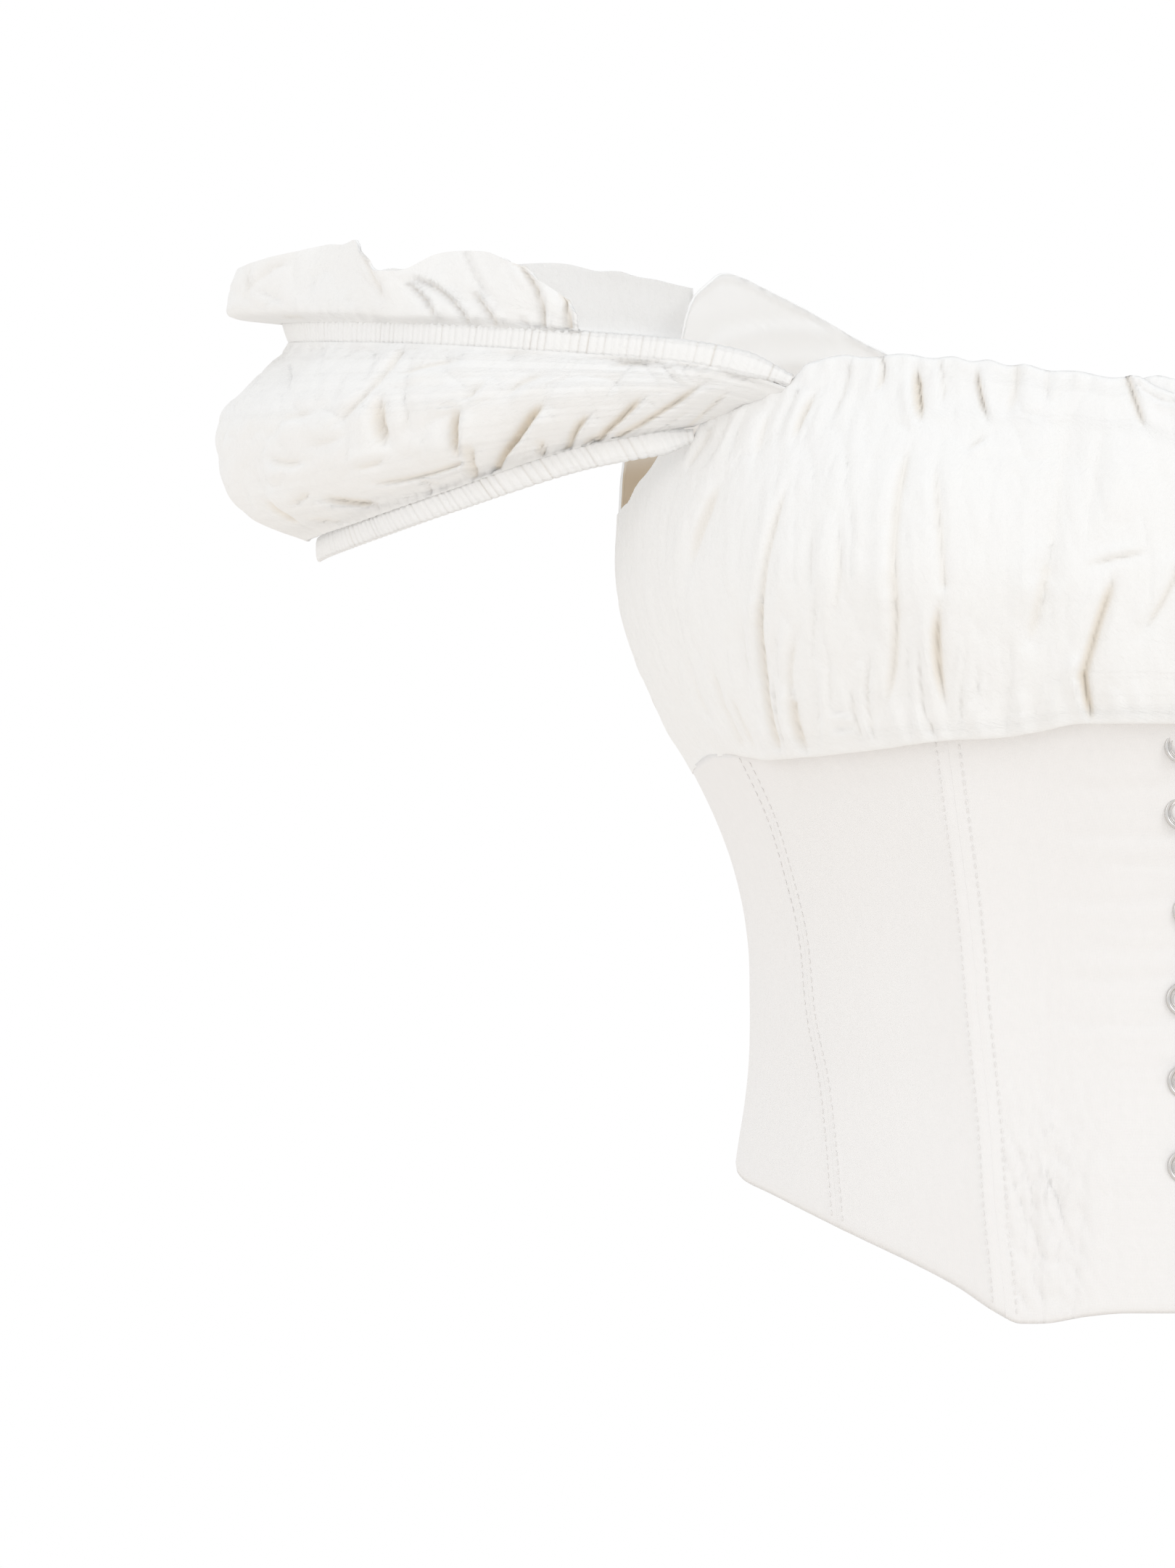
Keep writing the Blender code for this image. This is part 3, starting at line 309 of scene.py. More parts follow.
# The ruffle: share of the way round, height, lean outwards at its edge
RUFFLE_SHAPE = [
    (0.15, 4.0, 0.5), (0.17, 11.0, 1.0), (0.20, 17.0, 1.5), (0.226, 20.5, 2.0),
    (0.26, 19.0, 2.0), (0.29, 15.0, 2.5), (0.313, 13.0, 3.0), (0.347, 21.5, 3.0),
    (0.40, 20.0, 4.0), (0.45, 17.5, 8.0), (0.50, 12.5, 15.0), (0.56, 11.5, 15.8),
    (0.62, 15.0, 9.0), (0.70, 15.0, 4.0), (0.78, 19.0, 4.0), (0.88, 21.2, 4.5),
    (0.95, 19.0, 5.5), (1.0, 15.0, 6.5),
]
RUFFLE_START = 0.15
# The share of its lean that the ruffle has: share of its height, share of the lean
RUFFLE_LEAN = [(0.0, 0.0), (0.04, 0.28), (0.08, 0.6), (0.13, 0.86), (0.2, 0.97), (0.5, 1.0),
               (0.8, 0.98), (1.0, 0.9)]
# Its waves: how many, how high, how they fade at both ends, and where behind they calm down
RUFFLE_WAVES, RUFFLE_WAVE_RISE = 7, 2.6
RUFFLE_END_FADE = (0.05, 0.08)
RUFFLE_CALM, RUFFLE_CALM_SPAN = 0.35, (0.58, 0.72)


def read(table, at):
    """The values of a table's row at any keys, on smooth curves through its rows."""
    rows = np.array(table, float)
    keys, values = rows[:, 0], rows[:, 1:]
    steps = np.diff(values, axis=0) / np.diff(keys)[:, None]
    slopes = np.vstack([steps[:1], (steps[:-1] + steps[1:]) / 2, steps[-1:]])
    slopes[1:-1][steps[:-1] * steps[1:] <= 0] = 0.0
    at = np.clip(np.asarray(at, float), keys[0], keys[-1])
    k = np.clip(np.searchsorted(keys, at, side="right") - 1, 0, len(keys) - 2)
    span = (keys[k + 1] - keys[k])[..., None]
    t = (at - keys[k])[..., None] / span
    curve = values[k] * (1 + 2 * t) * (1 - t) ** 2 + values[k + 1] * t * t * (3 - 2 * t)
    curve = curve + span * (slopes[k] * t * (1 - t) ** 2 + slopes[k + 1] * t * t * (t - 1))
    return np.moveaxis(curve, -1, 0)


def level(table, at):
    """The one value of a two-column table at any keys."""
    return read(table, at)[0]


def mix(a, b, share):
    """A value a share of the way from a to b."""
    return a + (b - a) * share


def ease(low, high, at):
    """A smooth step from 0 at low to 1 at high, which may be the lower of the two."""
    t = np.clip((at - low) / (high - low), 0.0, 1.0)
    return t * t * (3 - 2 * t)


def hill(distance, spread):
    """A smooth bump, 1 in its middle."""
    return np.exp(-((distance / spread) ** 2))


def unit(vectors):
    """Vectors made 1 long."""
    return vectors / np.linalg.norm(vectors, axis=-1, keepdims=True)


# How near an edge a sheet's last row lies, as a share of the sheet, so that its edge is crisp
EDGE_HOLD = 0.0012


def shares(count):
    """Even steps from 0 to 1, with one more very near each end."""
    return np.concatenate([[0.0, EDGE_HOLD], np.linspace(0, 1, count)[1:-1], [1 - EDGE_HOLD, 1.0]])


def uneven(run, pitch, swing, slow):
    """Waves from -1 to 1 along a run in mm, whose pitch swings over a slower distance."""
    return np.sin(run / pitch + swing * np.sin(run / slow))


def run_along(points):
    """The distance along a row of points, from its first."""
    return np.concatenate([[0.0], np.cumsum(np.linalg.norm(np.diff(points, axis=0), axis=1))])


def wrapped(angle):
    """Angles past the centre back, counted from the other side."""
    return np.where(angle > 180, angle - 360, angle)


def outline(angle, z):
    """Points of the figure's cross-sections, in mm, and the level directions out of it there."""
    angle, z = np.broadcast_arrays(angle, z)
    front_half, back_half, front, back = read(FIGURE, z)
    turn = np.radians(np.abs(angle))
    ahead = turn < math.pi / 2
    half = np.where(ahead, front_half, back_half)
    power = np.where(ahead, FRONT_ROUNDNESS, BACK_ROUNDNESS)
    depth = np.where(ahead, front, back)
    across = np.abs(np.sin(turn)) ** (2 / power)
    along = np.abs(np.cos(turn)) ** (2 / power)
    side = np.where(angle < 0, -1.0, 1.0)
    facing = np.where(ahead, -1.0, 1.0)
    out = np.stack([side * across ** (power - 1) / half, facing * along ** (power - 1) / depth,
                    np.zeros_like(half)], axis=-1)
    points = np.stack([side * half * across, facing * depth * along, z.astype(float)], axis=-1)
    return points, unit(out)


def angle_at(x, z, behind=False):
    """The angles at which the figure's cross-sections have this x."""
    half = read(FIGURE, z)[1 if behind else 0]
    power = BACK_ROUNDNESS if behind else FRONT_ROUNDNESS
    turn = np.degrees(np.arcsin(np.minimum(np.abs(x) / half, 1.0) ** (power / 2)))
    turn = 180.0 - turn if behind else turn
    return np.copysign(turn, x)


def figure(angle, z, out=0.0):
    """Points of the figure with its cups and seam ridges, moved out by a distance."""
    points, away = outline(angle, z)
    x = np.abs(points[..., 0])
    cup = CUP_RISE * hill(x - CUP_X, CUP_SPREAD_X) * hill(z - CUP_Z, CUP_SPREAD_Z)
    crest = level(PRINCESS_SEAM, z) + PRINCESS_CREST
    ridge = PRINCESS_RISE * np.exp(-np.abs(x - crest) / PRINCESS_REACH)
    form = cup + ridge * (1 - ease(*PRINCESS_FADE, z))
    form = form * ease(0.0, SIDE_FADE, 90 - np.abs(angle))
    return points + away * (out + form)[..., None]


# A crease's line is drawn in this many steps, and a tapered end takes this share of it
CREASE_STEPS, CREASE_TAPER = 8, 0.4
# A crisp crease's bottom, in mm; the width from which a crease is soft all through, and how much
# narrower makes it crisp; and the share of its row's width that a crisp one has
CREASE_CORE, CREASE_SOFT, CREASE_TURN, CREASE_TIGHT = 0.35, 6.0, 3.5, 0.72
# A crisp crease's widths at its steep and its gentle wall, and how fast it rises there
STEEP_WIDTH, GENTLE_WIDTH, CRISP_SPREAD = 0.6, 1.25, 0.62
# The roll beyond the steep wall: its height, and its distance and width, as shares of the crease's
CREST_RISE, CREST_APART, CREST_WIDTH = 0.42, 1.25, 0.95
# How wide the shade painted in a crisp crease is, as a share of its width
SHADE_WIDTH = 0.6


def beside(x, z, row):
    """How far places (x, z) are from a crease's line, over 0 on its steep side, and how far along
    the line each is, from 0 to 1."""
    bend_x = 2 * row.xm - (row.xa + row.xb) / 2
    bend_z = 2 * row.zm - (row.za + row.zb) / 2
    t = np.linspace(0, 1, CREASE_STEPS + 1)
    line_x = (1 - t) ** 2 * row.xa + 2 * t * (1 - t) * bend_x + t * t * row.xb
    line_z = (1 - t) ** 2 * row.za + 2 * t * (1 - t) * bend_z + t * t * row.zb
    nearest = np.full(x.shape, np.inf)
    along, side = np.zeros(x.shape), np.zeros(x.shape)
    for k in range(CREASE_STEPS):
        ux, uz = line_x[k + 1] - line_x[k], line_z[k + 1] - line_z[k]
        run = np.clip(((x - line_x[k]) * ux + (z - line_z[k]) * uz) / (ux * ux + uz * uz), 0, 1)
        dx, dz = x - line_x[k] - run * ux, z - line_z[k] - run * uz
        far = dx * dx + dz * dz
        closer = far < nearest
        nearest = np.where(closer, far, nearest)
        along = np.where(closer, (k + run) / CREASE_STEPS, along)
        side = np.where(closer, np.sign(ux * dz - uz * dx), side)
    return np.sqrt(nearest) * side * row.steep, along


def creased(x, z, rows):
    """How far creases move the cloth out at places (x, z), and how deep in a crisp one each lies, which
    sets the shade painted there.

    A crease is a trough and, beyond its steep wall, a roll.
    """
    x, z = np.broadcast_arrays(x, z)
    out, sunk, deep = np.zeros(x.shape), np.zeros(x.shape), np.zeros(x.shape)
    for row in rows:
        apart, along = beside(x, z, row)
        start = mix(row.open_a, 1, ease(0, CREASE_TAPER, along))
        taper = start * mix(row.open_b, 1, ease(0, CREASE_TAPER, 1 - along))
        crisp = min(max((CREASE_SOFT - row.width) / CREASE_TURN, 0.0), 1.0)
        wall = np.where(apart > 0, mix(1.0, STEEP_WIDTH, crisp), mix(1.0, GENTLE_WIDTH, crisp))
        wide = wall * row.width * mix(1.0, CREASE_TIGHT, crisp)
        core = np.hypot(apart, CREASE_CORE) - CREASE_CORE
        trough = mix(hill(apart, wide), np.exp(-core / (CRISP_SPREAD * wide)), crisp)
        crest = CREST_RISE * hill(apart - CREST_APART * row.width, CREST_WIDTH * row.width)
        out += row.depth * taper * crest
        sunk = np.maximum(sunk, row.depth * taper * trough)
        # How deep in a crisp crease a place lies sets the shade painted there
        deep = np.maximum(deep, row.depth * taper * crisp * hill(apart, SHADE_WIDTH * row.width))
    return out - sunk, deep


# How far apart in the noise two seeds lie, and how sharp the edges of ridged crinkles are
SEED_STEP = (17.3, 5.1, 9.7)
RIDGE_SHARPNESS = 2.6


def crumple(points, scale, stretch, seed):
    """Soft random relief from -1 to 1 at points in mm; a stretch over 1 draws it out upwards."""
    shift = Vector([seed * step for step in SEED_STEP])
    flat = points.reshape(-1, 3) / np.array([scale, scale, scale * stretch])
    values = [noise.noise(Vector(p) + shift) for p in flat]
    return np.array(values).reshape(points.shape[:-1])


def ridged(points, scale, stretch, seed):
    """Sharp-edged crinkles from 0 to 1, of the same sizes."""
    across = np.abs(crumple(points, scale, stretch, seed)) * RIDGE_SHARPNESS
    return (1 - np.minimum(across, 1)) ** 2


# One layer of a cloth's own relief: its form, height, size, how far it is drawn out, and its seed
Relief = namedtuple("Relief", "form height scale stretch seed")
CORSET_RELIEF = [
    Relief(crumple, 0.10, 22.0, 1.6, 3),
    Relief(crumple, 0.05, 7.0, 1.2, 4),
]
DRAG_RELIEF = [
    Relief(ridged, -1.0, 6.0, 2.4, 7),
    Relief(ridged, -0.6, 3.4, 1.8, 8),
]
FRONT_RELIEF = [
    Relief(crumple, 1.0, 13.0, 4.5, 11),
    Relief(crumple, 0.4, 5.0, 6.0, 21),
    Relief(ridged, -0.46, 6.5, 5.0, 31),
    Relief(ridged, -0.2, 3.4, 6.0, 41),
]
BACK_RELIEF = [
    Relief(crumple, 0.7, 14.0, 4.0, 51),
    Relief(ridged, -0.35, 6.5, 4.0, 61),
]
PUFF_RELIEF = [
    Relief(crumple, 1.2, 16.0, 1.0, 70),
    Relief(crumple, 0.4, 7.0, 1.0, 71),
    Relief(ridged, -0.9, 14.0, 1.0, 72),
    Relief(ridged, -0.4, 8.0, 1.0, 73),
]
RUFFLE_RELIEF = [
    Relief(crumple, 1.2, 13.0, 1.5, 90),
    Relief(crumple, 0.3, 6.0, 1.5, 91),
    Relief(ridged, -0.6, 10.0, 1.4, 92),
]
# The seeds of the sleeves' layers are this far apart on the two sides
SLEEVE_SEED_STEP = 3


def rumpled(points, layers, seed_shift=0):
    """The sum of a cloth's layers of relief at points in mm."""
    return sum(layer.height * layer.form(points, layer.scale, layer.stretch, layer.seed + seed_shift)
               for layer in layers)


def settings():
    """The sizes and colours of the cloth that a user may change."""
    return bpy.context.scene.bustier_cloth


def mesh_of(bm, name):
    """A mesh with smooth faces from a bmesh, which is freed."""
    mesh = bpy.data.meshes.new(name)
    bm.to_mesh(mesh)
    bm.free()
    mesh.polygons.foreach_set("use_smooth", [True] * len(mesh.polygons))
    return mesh


def lay(name, points, slot, wall=True, inside_shade=False, fold=None):
    """A sheet of cloth through a grid of points in mm, rows from low to high, facing out.

    Its UV map is the distance along its rows and columns, in metres. A point attribute says how
    deep in a fold each point lies, from 0 to 1: the depth of the shade painted there.
    """
    rows, columns = points.shape[:2]
    bm = bmesh.new()
    bmesh.ops.create_grid(bm, x_segments=columns - 1, y_segments=rows - 1, size=1.0)
    mesh = mesh_of(bm, name)
    at = np.empty(len(mesh.vertices) * 3, np.float32)
    mesh.vertices.foreach_get("co", at)
    at = at.reshape(-1, 3)
    column = np.rint((at[:, 0] + 1) / 2 * (columns - 1)).astype(int)
    row = np.rint((at[:, 1] + 1) / 2 * (rows - 1)).astype(int)
    laid = points * MM
    mesh.vertices.foreach_set("co", laid[row, column].astype(np.float32).ravel())
    across = np.linalg.norm(np.diff(laid, axis=1), axis=2)
    across = np.concatenate([np.zeros((rows, 1)), np.cumsum(across, axis=1)], axis=1)
    upward = np.linalg.norm(np.diff(laid, axis=0), axis=2)
    upward = np.concatenate([np.zeros((1, columns)), np.cumsum(upward, axis=0)], axis=0)
    corner = np.empty(len(mesh.loops), np.int32)
    mesh.loops.foreach_get("vertex_index", corner)
    spread = np.stack([across[row[corner], column[corner]], upward[row[corner], column[corner]]], 1)
    mesh.uv_layers.new(name="cloth").data.foreach_set("uv", spread.astype(np.float32).ravel())
    # Points deep in a fold get painted shade from this attribute
    if fold is not None:
        depth = mesh.attributes.new("painted_fold_shade", "FLOAT", "POINT")
        depth.data.foreach_set("value", fold[row, column].astype(np.float32).ravel())
    mesh.update()
    piece = finished(name, mesh, slot, settings().wall if wall else 0.0)
    # The wall's inside face and rims take the finish with painted shade
    if inside_shade:
        piece.data.materials.append(material("inside_shade"))
        piece.modifiers["wall"].material_offset = 1
        piece.modifiers["wall"].material_offset_rim = 1
    return piece


def finished(name, mesh, slot, wall=0.0):
    """Adds a mesh as a piece that rides on the part's one body, with its finish."""
    piece = bpy.data.objects.new(name, mesh)
    bpy.context.scene.collection.objects.link(piece)
    piece.data.materials.append(material(slot))
    if wall:
        solidify = piece.modifiers.new("wall", "SOLIDIFY")
        solidify.thickness = wall
        solidify.offset = -1.0
    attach(piece, "root")
    return piece


def mirrored(points, sign):
    """The wearer's left side's points, or their mirror on the right, with the face kept outwards."""
    if sign > 0:
        return points
    return (points * np.array([-1.0, 1.0, 1.0]))[:, ::-1]


# The shade painted in a fold starts at this depth and is full at that one, in mm
FOLD_SHADE_START, FOLD_SHADE_FULL = 0.8, 4.2


def painted_fold_shade(deep, sign):
    """Folds' depths in mm as shares of the shade painted in them, for a sheet that mirrored() lays on
    this side.
    """
    depth = np.clip((deep - FOLD_SHADE_START) / (FOLD_SHADE_FULL - FOLD_SHADE_START), 0.0, 1.0)
    return depth if sign > 0 else depth[:, ::-1]


def group_socket(group, name, kind, default=None, out=False):
    """Gives a node group an input, or an output, with its default."""
    socket = group.interface.new_socket(name, in_out="OUTPUT" if out else "INPUT", socket_type=kind)
    if default is not None:
        socket.default_value = default


# The group's two layers of crinkles: how far each is drawn out along the cloth, and its detail
CRINKLE_LAYERS = ((3.2, 3.0), (1.1, 4.0))
CRINKLE_ROUGHNESS, CRINKLE_DISTORTION = 0.6, 0.35


def cloth_group():
    """Cloth in relief: threads over and under, fine crinkles, and painted light and shade on them.

    It reads the piece's own UV map, in metres, so it follows the cloth.
    """
    group = bpy.data.node_groups.get("woven_cloth")
    if group:
        return group
    group = bpy.data.node_groups.new("woven_cloth", "ShaderNodeTree")
    group_socket(group, "Thread pitch", "NodeSocketFloat", 0.0005)
    group_socket(group, "Weave depth", "NodeSocketFloat", 0.3)
    group_socket(group, "Crinkle pitch", "NodeSocketFloat", 0.0016)
    group_socket(group, "Crinkle depth", "NodeSocketFloat", 0.6)
    group_socket(group, "Height", "NodeSocketFloat", out=True)
    group_socket(group, "Shade", "NodeSocketFloat", out=True)
    nodes, links = group.nodes, group.links
    given = nodes.new("NodeGroupInput")
    made = nodes.new("NodeGroupOutput")

    def sums(operation, a, b):
        node = nodes.new("ShaderNodeMath")
        node.operation = operation
        for socket, value in zip(node.inputs, (a, b)):
            if isinstance(value, (int, float)):
                socket.default_value = value
            else:
                links.new(value, socket)
        return node.outputs[0]

    spread = nodes.new("ShaderNodeUVMap")
    spread.uv_map = "cloth"
    parts = nodes.new("ShaderNodeSeparateXYZ")
    links.new(spread.outputs[0], parts.inputs[0])

    def thread(axis):
        threads = sums("DIVIDE", parts.outputs[axis], given.outputs["Thread pitch"])
        turns = sums("MULTIPLY", threads, math.pi)
        return sums("ABSOLUTE", sums("SINE", turns, 0.0), 0.0)

    weave = sums("MULTIPLY", thread(0), thread(1))
    streaks = []
    for stretch, detail in CRINKLE_LAYERS:
        stretched = nodes.new("ShaderNodeCombineXYZ")
        links.new(sums("DIVIDE", parts.outputs[0], given.outputs["Crinkle pitch"]), stretched.inputs[0])
        slower = sums("MULTIPLY", given.outputs["Crinkle pitch"], stretch)
        links.new(sums("DIVIDE", parts.outputs[1], slower), stretched.inputs[1])
        streak = nodes.new("ShaderNodeTexNoise")
        streak.inputs["Scale"].default_value = 1.0
        streak.inputs["Detail"].default_value = detail
        streak.inputs["Roughness"].default_value = CRINKLE_ROUGHNESS
        streak.inputs["Distortion"].default_value = CRINKLE_DISTORTION
        links.new(stretched.outputs[0], streak.inputs["Vector"])
        streaks.append(streak.outputs[0])
    crinkle = sums("MULTIPLY", sums("ADD", *streaks), 0.5)
    height = sums("ADD", sums("MULTIPLY", weave, given.outputs["Weave depth"]),
                  sums("MULTIPLY", crinkle, given.outputs["Crinkle depth"]))
    links.new(height, made.inputs["Height"])
    links.new(crinkle, made.inputs["Shade"])
    return group


def blend(tree, share, low, high):
    """A colour between two, each a colour or another node's socket."""
    node = tree.nodes.new("ShaderNodeMix")
    node.data_type = "RGBA"
    tree.links.new(share, node.inputs["Factor"])
    for name, colour in (("A", low), ("B", high)):
        if isinstance(colour, bpy.types.NodeSocket):
            tree.links.new(colour, node.inputs[name])
        else:
            node.inputs[name].default_value = (*colour, 1.0)
    return node.outputs["Result"]


def shaded(colour, share):
    """A colour made darker, or paler up to white."""
    return [min(value * share, 1.0) for value in colour]


# The back's inside has painted shade from the seam up to a height along the cloth, in metres, then is
# pale
INSIDE_DARK_UNTIL, INSIDE_PALE_FROM = 0.088, 0.106
# How much paler than the cloth the inside is painted at its neckline, as painted light, and its roughness
INSIDE_PAINTED_LIGHT, INSIDE_ROUGHNESS = 1.08, 0.92


def finish_inside_shade(tree, shader):
    """The inside of the bust's back with painted shade: dark low down, and painted pale at its neckline.
    """
    sizes = settings()
    spread = tree.nodes.new("ShaderNodeUVMap")
    spread.uv_map = "cloth"
    parts = tree.nodes.new("ShaderNodeSeparateXYZ")
    tree.links.new(spread.outputs[0], parts.inputs[0])
    rise = tree.nodes.new("ShaderNodeMapRange")
    rise.interpolation_type = "SMOOTHSTEP"
    rise.inputs["From Min"].default_value = INSIDE_DARK_UNTIL
    rise.inputs["From Max"].default_value = INSIDE_PALE_FROM
    tree.links.new(parts.outputs[1], rise.inputs["Value"])
    # Painted light at the neckline, paler than the cloth
    pale = shaded(sizes.gauze_colour, INSIDE_PAINTED_LIGHT)
    tone = blend(tree, rise.outputs["Result"], sizes.inside_shade_colour, pale)
    tree.links.new(tone, shader.inputs["Base Color"])
    shader.inputs["Roughness"].default_value = INSIDE_ROUGHNESS


# The metal's grain: the noise's scale, its darker shade, and the least and most roughness
METAL_GRAIN, METAL_SHADE, METAL_ROUGHNESS = 900.0, 0.86, (0.16, 0.34)


def finish_metal(tree, shader):
    """Polished metal with a fine, faint grain."""
    colour = settings().metal_colour
    shader.inputs["Metallic"].default_value = 1.0
    place = tree.nodes.new("ShaderNodeTexCoord")
    grain = tree.nodes.new("ShaderNodeTexNoise")
    tree.links.new(place.outputs["Object"], grain.inputs["Vector"])
    grain.inputs["Scale"].default_value = METAL_GRAIN
    tone = blend(tree, grain.outputs[0], shaded(colour, METAL_SHADE), colour)
    tree.links.new(tone, shader.inputs["Base Color"])
    rough = tree.nodes.new("ShaderNodeMapRange")
    rough.inputs["To Min"].default_value = METAL_ROUGHNESS[0]
    rough.inputs["To Max"].default_value = METAL_ROUGHNESS[1]
    tree.links.new(grain.outputs[0], rough.inputs["Value"])
    tree.links.new(rough.outputs["Result"], shader.inputs["Roughness"])


THREAD_ROUGHNESS = 0.75


def finish_thread(tree, shader):
    """Plain sewing thread, its own off-white made darker than the corset as painted shade for the
    stitches' shadows.
    """
    shader.inputs["Base Color"].default_value = (*settings().thread_and_shade_colour, 1.0)
    shader.inputs["Roughness"].default_value = THREAD_ROUGHNESS


# Each cloth's thread pitch, weave depth, crinkle pitch and depth, bump distance, roughness and sheen
Finish = namedtuple("Finish", "thread weave crinkle crinkle_depth bump roughness sheen")
CLOTHS = {
    "corset_cotton": Finish(0.00042, 0.18, 0.0022, 0.5, 0.00020, 0.88, 0.12),
    "crinkled_cotton": Finish(0.00036, 0.05, 0.0013, 1.0, 0.00030, 0.9, 0.1),
}
# How dark the shade painted in the crinkles' hollows gets, and how pale the light painted on their crests
CRINKLE_SHADE, CRINKLE_LIGHT = 0.965, 1.025
SHEEN_ROUGHNESS = 0.6


def finish_cloth(tree, shader, finish, colour):
    """Woven, crinkled cloth, with painted shade in its crinkles' hollows, painted light on their crests,
    and painted shade deep in its folds.
    """
    cloth = tree.nodes.new("ShaderNodeGroup")
    cloth.node_tree = cloth_group()
    cloth.inputs["Thread pitch"].default_value = finish.thread
    cloth.inputs["Weave depth"].default_value = finish.weave
    cloth.inputs["Crinkle pitch"].default_value = finish.crinkle
    cloth.inputs["Crinkle depth"].default_value = finish.crinkle_depth
    bump = tree.nodes.new("ShaderNodeBump")
    bump.inputs["Distance"].default_value = finish.bump
    bump.inputs["Strength"].default_value = 1.0
    tree.links.new(cloth.outputs["Height"], bump.inputs["Height"])
    tree.links.new(bump.outputs["Normal"], shader.inputs["Normal"])
    # Painted shade in the crinkles' hollows and painted light on their crests
    dark, pale = shaded(colour, CRINKLE_SHADE), shaded(colour, CRINKLE_LIGHT)
    tone = blend(tree, cloth.outputs["Shade"], dark, pale)
    # Painted shade deep in the folds: the fold shade colour mixed in by the point attribute
    depth = tree.nodes.new("ShaderNodeAttribute")
    depth.attribute_name = "painted_fold_shade"
    fold_shaded = blend(tree, depth.outputs["Fac"], tone, settings().fold_shade_colour)
    tree.links.new(fold_shaded, shader.inputs["Base Color"])
    shader.inputs["Roughness"].default_value = finish.roughness
    shader.inputs["Sheen Weight"].default_value = finish.sheen
    shader.inputs["Sheen Roughness"].default_value = SHEEN_ROUGHNESS


def material(slot):
    """The finish of a slot, of the back's inside with its painted shade, or of the thread, made once."""
    made = bpy.data.materials.get(f"{slot}_finish")
    if made:
        return made
    made = bpy.data.materials.new(f"{slot}_finish")
    made.use_nodes = True
    tree = made.node_tree
    shader = tree.nodes["Principled BSDF"]
    sizes = settings()
    if slot == "silver_metal":
        finish_metal(tree, shader)
    elif slot == "thread":
        finish_thread(tree, shader)
    elif slot == "inside_shade":
        finish_inside_shade(tree, shader)
    else:
        colour = sizes.corset_colour if slot == "corset_cotton" else sizes.gauze_colour
        finish_cloth(tree, shader, CLOTHS[slot], colour)
    return made


def seam_angle(table, side, behind=False):
    """A seam as an edge of panels: its angle at any height."""
    return lambda z: side * np.abs(angle_at(level(table, z), z, behind))


def lap_edge(side):
    """The free edge of a front that laps, as an angle at any height."""
    return lambda z: angle_at(np.full(np.shape(z), -side * LAP_HALF), z)


def side_edge(sign):
    """The seam between side and back, as an angle at any height."""
    return lambda z: np.full(np.shape(z), sign * SIDE_BACK_ANGLE)


def lapping(x, lift):
    """How far out the upper of two fronts lies where they lap."""
    return lift * ease(-LAP_START - LAP_EASE, -LAP_START, x)


# How finely each panel is divided: columns, rows
PANEL_GRID = {
    "front_centre": (84, 110),
    "front_side": (56, 66),
    "side": (50, 66),
    "back_side": (44, 66),
    "back_centre": (64, 56),
}
# How far panels run up behind the bust's cloth, at the front and elsewhere, in mm
FRONT_REACH, REACH = 3.0, 1.0
# The cloth beside a seam lies higher: how much, how far, and over what width it falls
WELT_RISE, WELT_HALF, WELT_EDGE = 0.13, 2.6, 1.4
# The seam's own groove, and where beside it the panel's relief fades in
SEAM_DIP, SEAM_WIDTH, SEAM_CALM = 0.04, 0.6, (0.5, 5.0)
# How far a free edge and the hem turn in, and over what width
EDGE_TURN, EDGE_TURN_WIDTH = 0.5, 1.0
HEM_TURN, HEM_TURN_HEIGHT = 0.5, 1.6
# A panel's edges lean on each other, so their heights are found in steps from these
FIRST_HEM, FIRST_TOP, EDGE_STEPS = -70.0, 65.0, 12
# The left front centre's creases are moved by this much, in mm
CENTRE_SHIFT = 1.5
# A patch of small drag lines low on the front centre: its middle, its half sizes and its slant
PATCH_X, PATCH_Z, PATCH_HALF_WIDTH, PATCH_HALF_HEIGHT, PATCH_SLANT = 39.0, -60.0, 15.0, 32.0, 0.35


def corset_points(start, end, grid, welts=(1, 1), relief=None, lift=None, reach=REACH):
    """A panel from the hem up to the underbust seam. welts says which side edges are seams."""
    columns, rows = grid
    u, v = np.meshgrid(shares(columns), np.linspace(0, 1, rows))
    z_hem, z_top = np.full(u.shape, FIRST_HEM), np.full(u.shape, FIRST_TOP)
    for _ in range(EDGE_STEPS):
        z_hem = level(HEM, np.abs(wrapped(mix(start(z_hem), end(z_hem), u))))
        z_top = level(UNDERBUST, np.abs(wrapped(mix(start(z_top), end(z_top), u)))) + reach
    z = mix(z_hem, z_top, v)
    turn = wrapped(mix(start(z), end(z), u))
    flat = figure(turn, z)
    width = np.linalg.norm(np.diff(flat, axis=1), axis=2).sum(axis=1)[:, None]
    out, calm = np.zeros(u.shape), np.ones(u.shape)
    for is_seam, apart in zip(welts, (u * width, (1 - u) * width)):
        if is_seam:
            calm *= ease(*SEAM_CALM, apart)
            out += WELT_RISE * (1 - ease(WELT_HALF, WELT_HALF + WELT_EDGE, apart))
            out -= SEAM_DIP * hill(apart, SEAM_WIDTH)
        else:
            out -= EDGE_TURN * (1 - ease(0.0, EDGE_TURN_WIDTH, apart)) ** 2
    out -= HEM_TURN * (1 - ease(0.0, HEM_TURN_HEIGHT, z - z_hem)) ** 2
    out += rumpled(flat, CORSET_RELIEF)
    if relief:
        out += relief(flat[..., 0], z) * calm
    if lift:
        out += lift(flat[..., 0])
    return figure(turn, z, out)


def drag(x, z):
    """The front centre's drag creases, and its patch of small ones low down."""
    placed = creased(np.abs(x) + (x > 0) * CENTRE_SHIFT, z, CENTRE_CREASES)[0]
    patch = hill(np.abs(x) - PATCH_X, PATCH_HALF_WIDTH) * hill(z - PATCH_Z, PATCH_HALF_HEIGHT)
    spot = np.stack([x + PATCH_SLANT * z, np.zeros_like(x), z], axis=-1)
    return settings().creases * (placed + rumpled(spot, DRAG_RELIEF) * patch)


